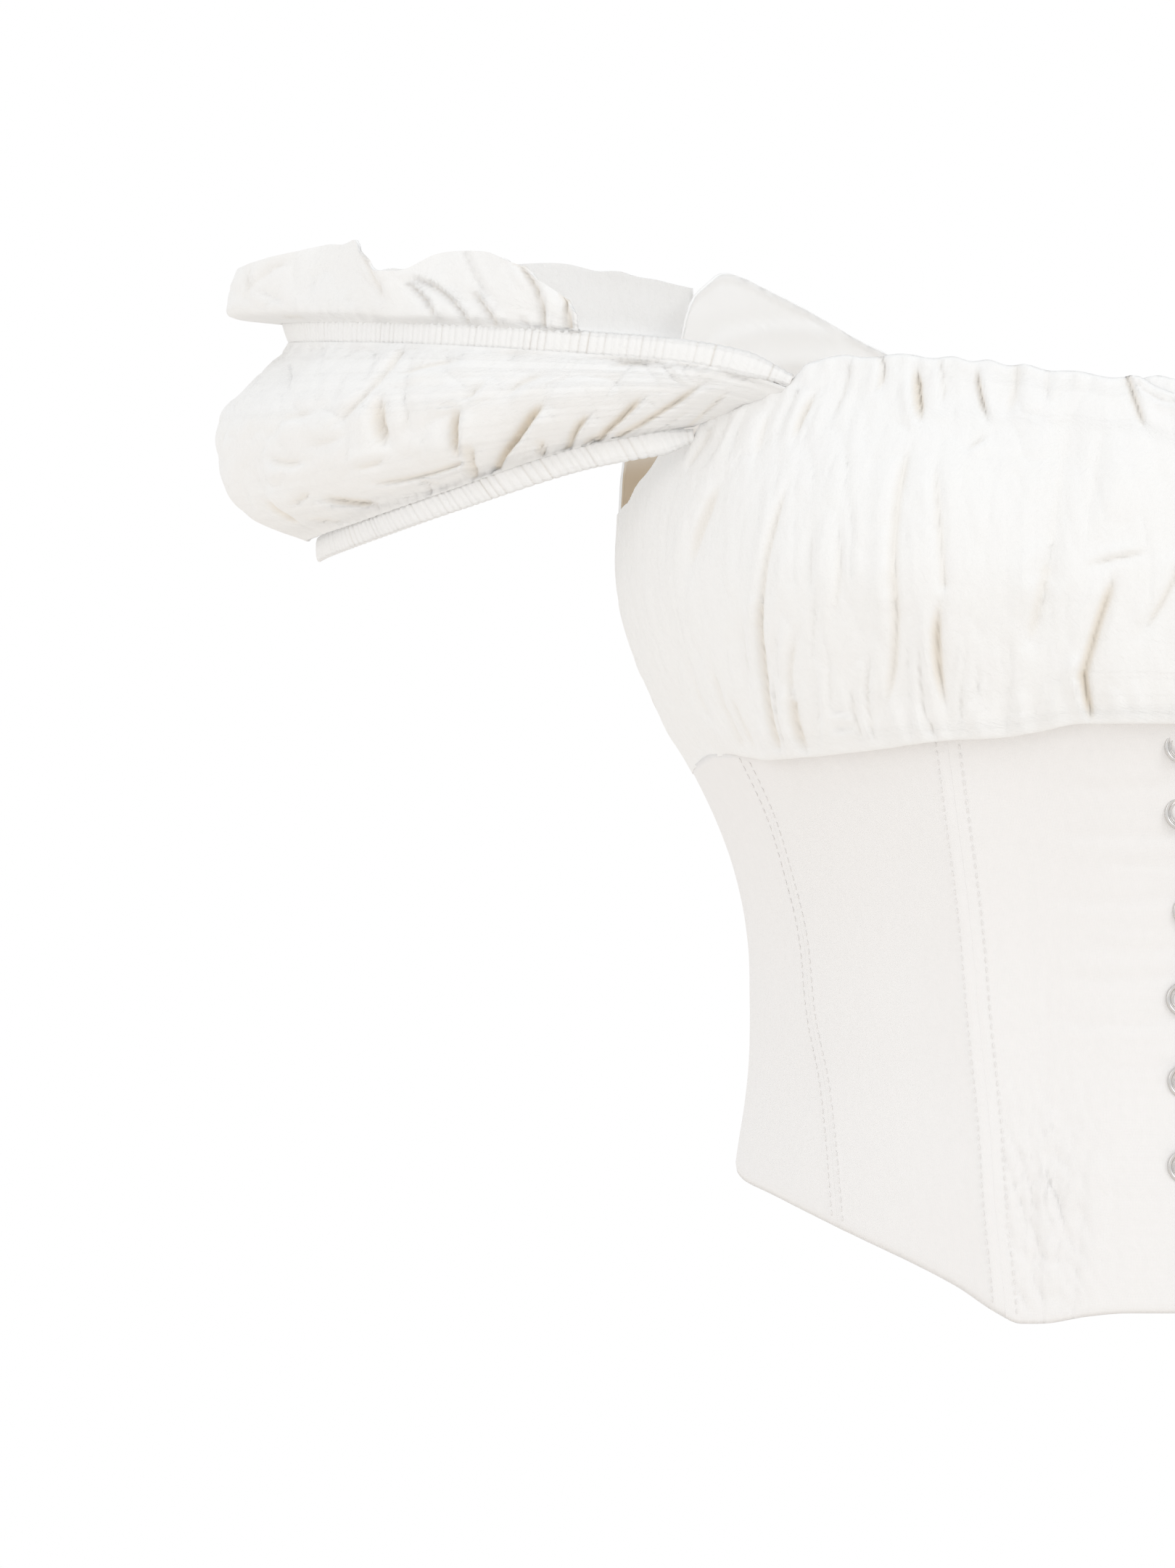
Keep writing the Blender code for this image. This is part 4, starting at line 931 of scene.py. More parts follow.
def make_corset():
    """The nine panels of the corset."""
    princess = {side: seam_angle(PRINCESS_SEAM, sign) for side, sign in SIDES.items()}
    flank = {side: seam_angle(SIDE_FRONT_SEAM, sign) for side, sign in SIDES.items()}
    rear = {side: seam_angle(BACK_SEAM, sign, behind=True) for side, sign in SIDES.items()}
    grid = PANEL_GRID["front_centre"]
    made = {
        "front_centre_right": corset_points(
            princess["right"], lap_edge(SIDES["right"]), grid, welts=(1, 0), relief=drag,
            lift=lambda x: lapping(x, CORSET_LIFT), reach=FRONT_REACH),
        "front_centre_left": corset_points(
            lap_edge(SIDES["left"]), princess["left"], grid, welts=(0, 1), relief=drag,
            reach=FRONT_REACH),
    }
    for side, sign in SIDES.items():
        edges = (princess[side], flank[side], side_edge(sign), rear[side])
        for name, inner, outer in zip(("front_side", "side", "back_side"), edges, edges[1:]):
            start, end = (inner, outer) if sign > 0 else (outer, inner)
            made[f"{name}_{side}"] = corset_points(start, end, PANEL_GRID[name])
    made["back_centre"] = corset_points(rear["left"], lambda z: 360 + rear["right"](z),
                                        PANEL_GRID["back_centre"])
    for name, points in made.items():
        piece = lay(name + "_cloth", points, "corset_cotton")
        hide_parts(name)


# A bust front's columns, its rows above the roll, and how finely its columns' angles are found
FRONT_COLUMNS, FRONT_ROWS, ANGLE_SAMPLES = 300, 112, 40
# The neckline's scallops and gathers: their height or depth and their waves, as uneven() takes
# them, and how far down the gathers reach
NECK_SCALLOP, SCALLOP_WAVES = 0.45, (2.1, 1.4, 9.0)
NECK_GATHER, GATHER_WAVES, GATHER_REACH = 0.45, (1.05, 2.2, 6.0), 7.0
# How far the neckline's edge turns in, and from how far below
NECK_TURN, NECK_TURN_HEIGHT = 0.8, 1.6
# On the front that lies underneath, folds fade out towards the centre front, in mm from it
CALM_LAP = (6.0, 18.0)
# Near the side seam, in degrees, folds end, crinkles keep this share and the cloth lies deeper
CALM_SIDE, SIDE_CRINKLE, SIDE_DIP = (90.0, 82.0), 0.3, 0.3
# Relief has only this share in the roll, up to these heights over the seam
ROLL_RELIEF, ROLL_CALM = 0.25, (-1.5, 5.0)
# Gathers at the underbust seam: depth, reach, the share they keep without a roll, and their waves
PUCKER_DEPTH, PUCKER_REACH, PUCKER_PLAIN = 0.9, 16.0, 0.15
PUCKER_WAVES = [(1.0, (2.3, 1.9, 7.5)), (0.5, (1.1, 3.0, 11.0))]


def puckers(x, up, hang):
    """Small gathers where the cloth is sewn into the underbust seam, uneven in width."""
    waves = sum(share * uneven(x, *wave) for share, wave in PUCKER_WAVES)
    return PUCKER_DEPTH * waves * (1 - ease(0.0, PUCKER_REACH, up)) * mix(PUCKER_PLAIN, 1.0, hang)


def even_angles(start, end, count, z):
    """Angles at even distances along a level line round the figure."""
    turns = np.linspace(start, end, ANGLE_SAMPLES * count + 1)
    run = run_along(outline(wrapped(turns), np.full(turns.shape, z))[0])
    return np.interp(run[-1] * shares(count + 1), run, turns)


def front_relief(x, z, points, sign):
    """The folds of a bust front, their depths for the shade painted in them, and the crinkles between
    them.
    """
    sizes = settings()
    if sign > 0:
        x = x + LEFT_SHIFT * np.sin(x / LEFT_SHIFT_WIDTH)
    folds, deep = creased(x, z, BUST_CREASES)
    return folds * sizes.creases, deep, rumpled(points, FRONT_RELIEF, sign) * sizes.crinkle


def make_bust_front(side, sign):
    """One gathered front of the bust, with the roll that hangs over the underbust seam."""
    over = sign < 0
    first = float(angle_at(np.array(-LAP_HALF), np.array(CUP_Z)))
    turns = even_angles(first, 90.0, FRONT_COLUMNS, CUP_Z)
    x_front = outline(turns, np.full(turns.shape, CUP_Z))[0][:, 0]
    z_seam = level(UNDERBUST, np.abs(turns))
    z_top = level(FRONT_TOP, np.abs(turns))
    hang = 1 - ease(*ROLL_FADE, np.abs(turns))
    if over:
        z_top = z_top - LAP_NECK_DROP * ease(-LAP_NECK_START, LAP_HALF, -x_front)
    else:
        hang = hang * ease(LAP_START, LAP_START + ROLL_LAP_EASE, x_front)
    z_top = z_top + NECK_SCALLOP * uneven(x_front, *SCALLOP_WAVES)

    roll_out, roll_up, plain_up = read(ROLL, np.linspace(0, 1, ROLL_ROWS)[:, None])
    up_low = mix(plain_up, roll_up, hang)
    up_high = mix(up_low[-1], z_top - z_seam, np.linspace(0, 1, FRONT_ROWS)[:, None])
    up = np.concatenate([up_low, up_high[1:]])
    out = np.concatenate([roll_out * hang, (level(BLOUSE, up_high) * hang)[1:]])
    turn = np.broadcast_to(turns, up.shape)
    z = z_seam + up
    flat = figure(turn, z, out)

    folds, deep, crinkles = front_relief(flat[..., 0], z, flat, sign)
    near_side = ease(*CALM_SIDE, turns)
    shown = near_side if over else near_side * ease(*CALM_LAP, np.abs(x_front))
    settled = mix(ROLL_RELIEF, 1, ease(*ROLL_CALM, up))
    relief = folds * shown + crinkles * mix(SIDE_CRINKLE, 1.0, near_side) - SIDE_DIP * (1 - near_side)
    relief = relief * settled + puckers(x_front, up, hang)
    gathers = ease(GATHER_REACH, 0.0, z_top - z) * uneven(x_front, *GATHER_WAVES)
    relief = relief + NECK_GATHER * gathers
    relief = relief - NECK_TURN * ease(NECK_TURN_HEIGHT, 0.0, z_top - z) ** 2
    raised = lapping(-x_front, BUST_LIFT) if over else 0.0
    points = mirrored(figure(turn, z, out + raised + relief), sign)
    piece = lay(f"bust_front_{side}_cloth", points, "crinkled_cotton",
                fold=painted_fold_shade(deep * shown * settled, sign))
    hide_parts(f"bust_front_{side}")


BACK_COLUMNS, BACK_ROWS = 200, 74
# The elastic's gathers: how many, how deep, over what share of the height, out to which angle from
# the centre back, and how their pitch wanders
BACK_GATHERS, BACK_GATHER_RISE, BACK_GATHER_SPAN = 14, 1.3, (0.2, 0.95)
BACK_GATHER_HALF_ANGLE, BACK_GATHER_FADE = 52.0, 12.0
BACK_WANDER, BACK_WANDER_ANGLE = 0.7, 7.0
# The fine gathers in its edge: how deep, their waves, and out to which angle
ELASTIC_GATHER, ELASTIC_WAVES, ELASTIC_HALF_ANGLE = 0.4, (0.95, 2.0, 6.5), 60.0
# The share of the front's puckers that the back has, and how much they hang
BACK_PUCKERS, BACK_HANG = 0.6, 0.35
# Crinkles keep this share at the sides, and creases end there, in degrees
BACK_CRINKLE, BACK_CRINKLE_CALM = 0.4, (75.0, 50.0)
BACK_CREASE_END = (97.0, 106.0)
# The back's creases, seen from behind: pulls across its corners, and falls below the gathers
BACK_CREASES = [
    Crease(90.0, 182.0, 112.0, 186.0, 132.0, 183.0, 0.8, 2.6, 1, 0, 1),
    Crease(78.0, 173.0, 105.0, 176.0, 133.0, 173.0, 0.9, 2.8, -1, 0, 1),
    Crease(70.0, 160.0, 100.0, 166.0, 134.0, 163.0, 0.8, 3.2, 1, 0, 1),
    Crease(20.0, 150.0, 22.0, 118.0, 18.0, 84.0, 1.8, 5.0, 1, 0, 0),
    Crease(48.0, 160.0, 53.0, 120.0, 50.0, 76.0, 2.0, 4.6, -1, 0, 0),
    Crease(84.0, 158.0, 90.0, 120.0, 84.0, 80.0, 1.7, 5.2, 1, 0, 0),
    Crease(114.0, 150.0, 121.0, 120.0, 112.0, 72.0, 1.3, 5.0, -1, 0, 1),
    Crease(34.0, 96.0, 35.0, 80.0, 33.0, 62.0, 1.8, 2.4, 1, 0, 1),
    Crease(66.0, 100.0, 68.0, 82.0, 65.0, 62.0, 2.2, 2.6, -1, 0, 1),
    Crease(6.0, 98.0, 7.0, 80.0, 5.0, 62.0, 1.6, 2.4, 1, 0, 1),
    Crease(98.0, 92.0, 99.0, 76.0, 95.0, 60.0, 1.6, 2.6, 1, 0, 1),
]


def make_bust_back():
    """The back of the bust: elasticated along the middle of its neckline, smooth at both corners."""
    turns = even_angles(90.0, 270.0, BACK_COLUMNS, CUP_Z)
    turn, v = np.meshgrid(wrapped(turns), np.linspace(0, 1, BACK_ROWS))
    z_seam = level(UNDERBUST, np.abs(turn))
    z_top = level(BACK_TOP, np.abs(turn))
    z = mix(z_seam, z_top, v)
    off_centre = 180.0 - np.abs(turn)
    flat = figure(turn, z)
    x = flat[..., 0]

    wander = BACK_WANDER * np.sin(off_centre / BACK_WANDER_ANGLE) * np.sign(turn)
    wave = np.cos(math.pi * BACK_GATHERS * off_centre / BACK_GATHER_HALF_ANGLE / 2 + wander)
    fade = 1 - ease(BACK_GATHER_HALF_ANGLE - BACK_GATHER_FADE, BACK_GATHER_HALF_ANGLE, off_centre)
    out = BACK_GATHER_RISE * (wave - 1) * fade * ease(*BACK_GATHER_SPAN, v)
    in_elastic = ease(GATHER_REACH, 0.0, z_top - z) * (off_centre < ELASTIC_HALF_ANGLE)
    out += ELASTIC_GATHER * uneven(x, *ELASTIC_WAVES) * in_elastic
    out -= NECK_TURN * ease(NECK_TURN_HEIGHT, 0.0, z_top - z) ** 2
    out += puckers(x, z - z_seam, BACK_HANG) * BACK_PUCKERS
    calm = mix(BACK_CRINKLE, 1.0, ease(*BACK_CRINKLE_CALM, off_centre))
    out += settings().crinkle * rumpled(flat, BACK_RELIEF) * calm
    folds = creased(np.abs(x), z, BACK_CREASES)[0] * ease(*BACK_CREASE_END, np.abs(turn))
    out += settings().creases * folds
    # Its inside face takes the painted shade
    piece = lay("bust_back_cloth", figure(turn, z, out), "crinkled_cotton", inside_shade=True)
    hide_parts("bust_back")


def band_line(kind, s):
    """Points in mm on the middle line of the left sleeve's band, from the bust (0) to the back (1)."""
    band = BANDS[kind]

    def on_oval(share):
        turn = np.radians(mix(band.start, band.end, share))
        x = band.middle + band.out * np.cos(turn)
        y = np.where(turn < 0, band.front, band.back) * np.sin(turn)
        if kind == "top":
            z = level(TOP_BAND_HEIGHT, share)
        else:
            z = level(HEM_BAND_HEIGHT, x) + HEM_BAND_BACK_RISE * np.maximum(0.0, np.sin(turn))
        return np.stack([x, y, z], axis=-1)

    points = on_oval(s)
    for share, seat in ((0.0, band.front_seat), (1.0, band.back_seat)):
        pull = np.clip(1 - np.abs(s - share) / band.pull, 0, 1) ** 2
        aim = figure(np.array(seat[0]), np.array(seat[1]), SEAT_OUT) - on_oval(np.array(share))
        points = points + aim * pull[..., None]
    return points


def band_frame(kind, s):
    """The band's points, the level directions out of the sleeve, and its own upward directions."""
    ahead = band_line(kind, np.minimum(s + BAND_STEP, 1.0))
    along = unit(ahead - band_line(kind, np.maximum(s - BAND_STEP, 0.0)))
    out = unit(np.cross(along, UP))
    return band_line(kind, s), out, np.cross(out, along)


# How far out of a band's middle line the cloth on both sides of it starts, and how far under the
# band it is tucked
BAND_FLUSH, BAND_TUCK = 0.75, 0.9
# Along a band, front cloth changes to back cloth between these shares; the puff's front profile
# ends before that
PUFF_TURN, PUFF_PROFILE_TURN, RUFFLE_TURN = (0.46, 0.60), (0.3, 0.46), (0.44, 0.52)
# The creases behind are those in front, moved in x and z, and shallower
PUFF_BEHIND, PUFF_BEHIND_SHARE = (5.0, -2.5), 0.8
RUFFLE_BEHIND, RUFFLE_BEHIND_SHARE = (-9.0, -1.0), 0.45
# The left sleeve's creases lie up to this far from the right's, changing over this distance
PUFF_SHIFT, RUFFLE_SHIFT = (2.0, 9.0), (1.5, 8.0)

PUFF_COLUMNS, PUFF_ROWS, PUFF_CROWDING = 280, 84, 1.2
# The puff's gathers: how many, how high, how their pitch wanders, how they fade at its ends, the
# share that its front has, and how strong they are at each share of its height
PUFF_GATHERS, PUFF_GATHER_RISE = 13, 3.0
PUFF_WANDER, PUFF_WANDERS = 1.3, 9.0
PUFF_END_FADE, PUFF_FRONT_GATHER = 0.08, 0.35
PUFF_GATHER_SHARE = [(0.0, 0.1), (0.1, 0.8), (0.25, 1.0), (0.5, 0.6), (0.75, 0.5), (0.9, 0.6),
                     (1.0, 0.1)]
# The depth that a fold may have where the puff is flat, and the share of its swell that it may add
PUFF_ROOM, PUFF_ROOM_SHARE = 0.6, 0.55
# Relief fades near both bands and at the puff's start, as shares of its height and length
PUFF_EDGE_CALM, PUFF_START_CALM = 0.05, 0.03
# How far the puff's two ends tuck in where its bands meet, in mm, and over which shares
PUFF_START_TUCK, PUFF_START_SPAN = 2.6, (0.04, 0.0)
PUFF_END_TUCK, PUFF_END_SPAN = 2.0, (0.978, 1.0)
# Over what share of the height profiles are averaged, in how many steps, and the last one's weight
SOFTEN_REACH, SOFTEN_STEPS, SOFTEN_LAST = 0.06, 9, 0.2
# Fine pleats where the puff is sewn to a band: their pitch, depth, and how far they reach
PLEAT_PITCH, PLEAT_DEPTH, PLEAT_REACH = 2.6, 0.4, 0.20
# The lower pleats are wider by this much and the upper ones shallower, and the swings of both
LOW_PLEAT_WIDER, LOW_PLEAT_SWING = 1.3, (1.7, 7.0)
HIGH_PLEAT_SHARE, HIGH_PLEAT_SWING = 0.7, (2.1, 9.0)


def pleats(run, v):
    """Small uneven pleats that leave both bands and fade along the cloth."""
    pitch = PLEAT_PITCH / (2 * math.pi)
    low = uneven(run, pitch * LOW_PLEAT_WIDER, *LOW_PLEAT_SWING)
    low = low * ease(PLEAT_REACH * LOW_PLEAT_WIDER, 0.0, v)
    high = uneven(run, pitch, *HIGH_PLEAT_SWING) * ease(PLEAT_REACH, 0.0, 1 - v)
    return PLEAT_DEPTH * (low + HIGH_PLEAT_SHARE * high)


def softened(table, at):
    """A table's values averaged on both sides of each key, so that no kink shows in a surface."""
    steps = np.linspace(-1, 1, SOFTEN_STEPS)
    weights = mix(1.0, SOFTEN_LAST, np.abs(steps))
    total = sum(level(table, at + SOFTEN_REACH * step) * weight
                for step, weight in zip(steps, weights))
    return total / weights.sum()


def sleeve_side(x, sign, shift):
    """Where a side's creases are read: the left sleeve's wander from the right's."""
    return x + (shift[0] * np.sin(x / shift[1]) if sign > 0 else 0.0)


def make_puffs():
    """The two puffs: cloth gathered between a sleeve's upper and lower bands."""
    sizes = settings()
    s, v = np.meshgrid(np.linspace(0, 1, PUFF_COLUMNS) ** PUFF_CROWDING, shares(PUFF_ROWS))
    top, out_top, rise = band_frame("top", s)
    low, out_low, lift = band_frame("hem", s)
    top = top - rise * (BANDS["top"].half - BAND_TUCK)
    low = low + lift * (BANDS["hem"].half - BAND_TUCK)
    out = unit(mix(out_low, out_top, v[..., None]))
    behind = ease(*PUFF_TURN, s)
    profile = mix(softened(PUFF_FRONT_PROFILE, v), softened(PUFF_PROFILE, v),
                  ease(*PUFF_PROFILE_TURN, s))
    gathered = np.cos(2 * math.pi * PUFF_GATHERS * s + PUFF_WANDER * np.sin(PUFF_WANDERS * s))
    strength = level(PUFF_GATHER_SHARE, v) * ease(0.0, PUFF_END_FADE, np.minimum(s, 1 - s))
    swell = level(PUFF_SWELL, s) * profile
    swell = swell + PUFF_GATHER_RISE * gathered * strength * mix(PUFF_FRONT_GATHER, 1.0, behind)
    base = mix(low, top, v[..., None]) + out * swell[..., None]
    run = run_along(top[-1])
    edge = ease(0.0, PUFF_EDGE_CALM, v) * ease(0.0, PUFF_EDGE_CALM, 1 - v)
    tuck = PUFF_START_TUCK * ease(*PUFF_START_SPAN, s) + PUFF_END_TUCK * ease(*PUFF_END_SPAN, s)
    tuck = tuck - BAND_FLUSH * (1 - 4 * v * (1 - v))
    for side, sign in SIDES.items():
        x, z = sleeve_side(base[..., 0], sign, PUFF_SHIFT), base[..., 2]
        ahead, deep = creased(x, z, SLEEVE_CREASES)
        after, deep_after = creased(x + PUFF_BEHIND[0], z + PUFF_BEHIND[1], SLEEVE_CREASES)
        folds = mix(ahead, after * PUFF_BEHIND_SHARE, behind)
        folds = np.maximum(folds, -PUFF_ROOM - PUFF_ROOM_SHARE * swell)
        deep = mix(deep, deep_after * PUFF_BEHIND_SHARE, behind)
        crinkles = rumpled(base, PUFF_RELIEF, SLEEVE_SEED_STEP * sign)
        relief = (folds * sizes.creases + crinkles * sizes.crinkle) * edge + pleats(run, v)
        away = relief * ease(0.0, PUFF_START_CALM, s) - tuck
        piece = lay(f"sleeve_puff_{side}_cloth", mirrored(base + out * away[..., None], sign),
                    "crinkled_cotton", fold=painted_fold_shade(deep * edge, sign))
        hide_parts(f"sleeve_puff_{side}")


# Where a sleeve bends back at its outer end, its band leans out at the top, in mm
OUTER_END, OUTER_SPAN, OUTER_FLARE = 0.51, 0.10, 2.6


def outer_flare(s, up):
    """How far a band leans out there: fully at its top (1), not at its bottom (-1)."""
    return OUTER_FLARE * hill(s - OUTER_END, OUTER_SPAN) * (up + 1) / 2


RUFFLE_COLUMNS, RUFFLE_ROWS, RUFFLE_CROWDING = 250, 26, 1.3
# The ruffle's edge is uneven by this much, and gathered at its foot by that much, up to a share of
# its height; and the waves of both
EDGE_RISE, EDGE_WAVES = 0.5, (2.7, 2.0, 10.0)
FOOT_GATHER, FOOT_REACH, FOOT_WAVES = 0.35, 0.45, (0.42, 2.0, 8.0)
# The share of its crinkles that its back has, and where above its foot relief fades in
RUFFLE_BACK_CRINKLE, RUFFLE_FOOT_CALM = 0.45, 0.12


def make_ruffles():
    """The two ruffles: the heading that stands above each sleeve's upper band."""
    sizes = settings()
    s, v = np.meshgrid(np.linspace(RUFFLE_START, 1.0, RUFFLE_COLUMNS),
                       shares(RUFFLE_ROWS) ** RUFFLE_CROWDING)
    base, out, rise = band_frame("top", s)
    run = run_along(base[0])
    height, lean = read(RUFFLE_SHAPE, s)
    ends = ease(0.0, RUFFLE_END_FADE[0], s - RUFFLE_START) * ease(0.0, RUFFLE_END_FADE[1], 1 - s)
    calm = mix(1.0, RUFFLE_CALM, ease(*RUFFLE_CALM_SPAN, s))
    wave = RUFFLE_WAVE_RISE * calm * ends * np.sin(2 * math.pi * RUFFLE_WAVES * s) * v
    gathers = FOOT_GATHER * uneven(run, *FOOT_WAVES) * ease(FOOT_REACH, 0.0, v) * calm
    flare = lean * level(RUFFLE_LEAN, v) + outer_flare(s, 1.0) + BAND_FLUSH
    upward = (height + EDGE_RISE * uneven(run, *EDGE_WAVES) * ends + BAND_TUCK) * v
    foot = BANDS["top"].half - BAND_TUCK
    points = base + rise * foot + UP * upward[..., None] + out * (flare + wave)[..., None]
    front = 1 - ease(*RUFFLE_TURN, s)
    for side, sign in SIDES.items():
        x, z = sleeve_side(points[..., 0], sign, RUFFLE_SHIFT), points[..., 2]
        ahead, deep = creased(x, z, RUFFLE_CREASES)
        after = creased(x + RUFFLE_BEHIND[0], z + RUFFLE_BEHIND[1], RUFFLE_CREASES)[0]
        folds = mix(after * RUFFLE_BEHIND_SHARE, ahead, front)
        crinkles = rumpled(points, RUFFLE_RELIEF, SLEEVE_SEED_STEP * sign)
        crinkles = crinkles * sizes.crinkle * mix(RUFFLE_BACK_CRINKLE, 1.0, front)
        relief = (folds * sizes.creases + crinkles) * ease(0.0, RUFFLE_FOOT_CALM, v) + gathers
        piece = lay(f"sleeve_ruffle_{side}_cloth", mirrored(points + out * relief[..., None], sign),
                    "crinkled_cotton", fold=painted_fold_shade(deep * front, sign))
        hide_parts(f"sleeve_ruffle_{side}")


# A band's section: how far out its middle is, half its thickness, how square its two ways are
# (1 is an ellipse), and its points
BAND_MIDDLE, BAND_THICK = 0.15, 0.85
SQUARE_OUT, SQUARE_UP = 0.8, 0.7
SECTION_POINTS = 14
STATIONS_PER_RIB = 5
# How high a rib stands, how round it is, where its foot lies, and how little shows inside a band
RIB_RISE, RIB_ROUND, RIB_FOOT, RIB_INSIDE = 0.75, 0.6, 0.6, 0.15
# How much taller than its neighbours' grooves a rib is, and how deep grooves count for painted shade
RIB_TALLER, GROOVE_SHADE_DEPTH = 0.3, 2.4
# How the ribs' pitch and height wander along a band: how much, and how fast
RIB_WANDER = [(1.2, 61.0), (0.9, 23.0)]
RIB_UNEVEN, RIB_UNEVEN_PACE = 0.2, 143.0
# How far a rib leans along its band, how much wider the lower band is near the bust, and up to where
RIB_LEAN = {"top": -0.0008, "hem": 0.0042}
BAND_WIDENS, BAND_WIDE_SPAN = {"top": 1.0, "hem": 1.2}, (0.12, 0.3)
# A band's ends: their share of its length, how narrow they get, and how far they sink in
BAND_END, BAND_END_NARROW, BAND_SINK = 0.035, 0.5, 2.4


def squared(wave, power):
    """A wave from -1 to 1 with squarer shoulders for a power under 1."""
    return np.sign(wave) * np.abs(wave) ** power


def make_casings():
    """The elasticated channels: flat tubes of cloth, ribbed all along by their gathers."""
    for kind, band in BANDS.items():
        s = np.linspace(0, 1, band.ribs * STATIONS_PER_RIB + 1)
        around = np.linspace(0, 2 * math.pi, SECTION_POINTS + 1)[::-1, None]
        ends = ease(0.0, BAND_END, np.minimum(s, 1 - s))
        across, upright = squared(np.cos(around), SQUARE_OUT), squared(np.sin(around), SQUARE_UP)
        middle, out, rise = band_frame(kind, np.clip(s + RIB_LEAN[kind] * upright * ends, 0, 1))
        phase = math.pi * band.ribs * s + sum(swing * np.sin(s * pace) for swing, pace in RIB_WANDER)
        rib = np.abs(np.sin(phase)) ** RIB_ROUND
        uneven_share = 1 - RIB_UNEVEN + RIB_UNEVEN * np.sin(s * RIB_UNEVEN_PACE)
        strength = level(RIB_STRENGTH, s) * uneven_share
        away = BAND_MIDDLE + BAND_THICK * across - BAND_SINK * (1 - ends)
        away = away + RIB_RISE * strength * (rib - RIB_FOOT) * np.maximum(across, RIB_INSIDE)
        if kind == "top":
            away = away + outer_flare(s, upright)
        half = band.half * mix(BAND_WIDENS[kind], 1.0, ease(*BAND_WIDE_SPAN, s))
        up = upright * (half + RIB_TALLER * (rib - 0.5)) * mix(BAND_END_NARROW, 1.0, ends)
        points = middle + out * away[..., None] + rise * up[..., None]
        # Shade painted in the grooves between the ribs
        groove = np.broadcast_to(GROOVE_SHADE_DEPTH * strength * (1 - rib) ** 2, up.shape)
        for side, sign in SIDES.items():
            piece = lay(f"sleeve_{kind}_casing_{side}_cloth", mirrored(points, sign),
                        "crinkled_cotton", wall=False, fold=painted_fold_shade(groove, sign))
            close_tube(piece.data)
            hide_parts(f"sleeve_{kind}_casing_{side}")


def close_tube(mesh):
    """Joins a tube's long edges and closes both of its ends."""
    bm = bmesh.new()
    bm.from_mesh(mesh)
    bmesh.ops.remove_doubles(bm, verts=bm.verts, dist=MERGE_DISTANCE)
    bmesh.ops.holes_fill(bm, edges=[edge for edge in bm.edges if edge.is_boundary], sides=0)
    bmesh.ops.recalc_face_normals(bm, faces=bm.faces)
    bm.to_mesh(mesh)
    bm.free()


# Rows of stitches beside the corset's seams: the seam's table, whether it is behind, and how far
# the two rows stand from it, in mm
STITCH_ROWS = [
    (PRINCESS_SEAM, False, (-3.1, 3.1)),
    (SIDE_FRONT_SEAM, False, (-1.8, 1.8)),
    (BACK_SEAM, True, (-1.8, 1.8)),
]
# The same two distances at the seam between side and back, which has no table
SIDE_STITCHES = (-1.8, 1.8)
# The heights at which a row's places are found, in mm: from, up to, and how far apart
STITCH_HEIGHTS = (-92.0, 75.0, 0.2)
# How far out the thread's middle lies, how far above the hem a row starts, and how far it runs on
# behind the bust's cloth
STITCH_OUT, STITCH_CLEAR, STITCH_REACH = 0.30, 2.2, 1.0


def stitch_path(seam, apart, sign):
    """Places in mm along a row of stitches beside a seam, and the directions out of it there."""
    z = np.arange(*STITCH_HEIGHTS)
    turn = seam(z)
    per_degree = np.linalg.norm(outline(turn + 0.5, z)[0] - outline(turn - 0.5, z)[0], axis=1)
    turn = turn + apart / per_degree
    top = level(UNDERBUST, np.abs(turn)) + STITCH_REACH
    kept = (z > level(HEM, np.abs(turn)) + STITCH_CLEAR) & (z < top)
    points, away = outline(turn, z)
    lift = lapping(points[:, 0], CORSET_LIFT) if sign < 0 else 0.0
    return figure(turn, z, STITCH_OUT + lift)[kept], away[kept]


def add_stitch(bm, start, end, normal):
    """One short thread between two places in mm."""
    half, thick = settings().stitch_length / 2, settings().thread / 2
    middle = Vector((start + end) / 2 * MM)
    along = Vector(end - start).normalized()
    across = normal.cross(along).normalized()
    for vert in bmesh.ops.create_icosphere(bm, subdivisions=1, radius=1.0)["verts"]:
        x, y, z = vert.co
        vert.co = middle + along * (x * half) + across * (y * thick) + normal * (z * thick)


def make_stitches():
    """Rows of stitches, each a short thread that dips into the cloth at both ends."""
    length = settings().stitch_length / MM
    pitch = (settings().stitch_length + settings().stitch_gap) / MM
    bm = bmesh.new()
    for sign in SIDES.values():
        rows = [(seam_angle(table, sign, behind), apart) for table, behind, pair in STITCH_ROWS
                for apart in pair]
        rows += [(side_edge(sign), apart) for apart in SIDE_STITCHES]
        for seam, apart in rows:
            path, away = stitch_path(seam, apart, sign)
            run = run_along(path)
            for start in np.arange(0.0, run[-1] - pitch, pitch):
                first, last = np.searchsorted(run, [start, start + length])
                add_stitch(bm, path[first], path[last], Vector(away[first]))
    piece = finished("corset_stitching", mesh_of(bm, "corset_stitching"), "corset_cotton")
    piece.data.materials.clear()
    piece.data.materials.append(material("thread"))


# The ring snaps: height and x of each, in mm, and their section: radius, height over the cloth
RINGS = [(65.3, -0.7), (47.2, -0.7), (20.5, 1.5), (-3.5, -0.3), (-25.9, 0.1), (-49.0, 0.1)]
RING_SECTION = [(4.70, 0.0), (4.74, 0.45), (4.52, 0.85), (4.14, 0.98), (3.80, 0.86), (3.62, 0.60),
                (3.50, 0.44), (3.34, 0.44), (3.22, 0.62), (3.06, 0.68), (2.90, 0.56), (2.84, 0.30),
                (2.86, 0.0)]
# How many steps a ring is turned in, how far it is seated over the lap, and its closest points, in m
RING_STEPS, RING_SEAT, RING_MERGE = 44, 0.15, 0.000001


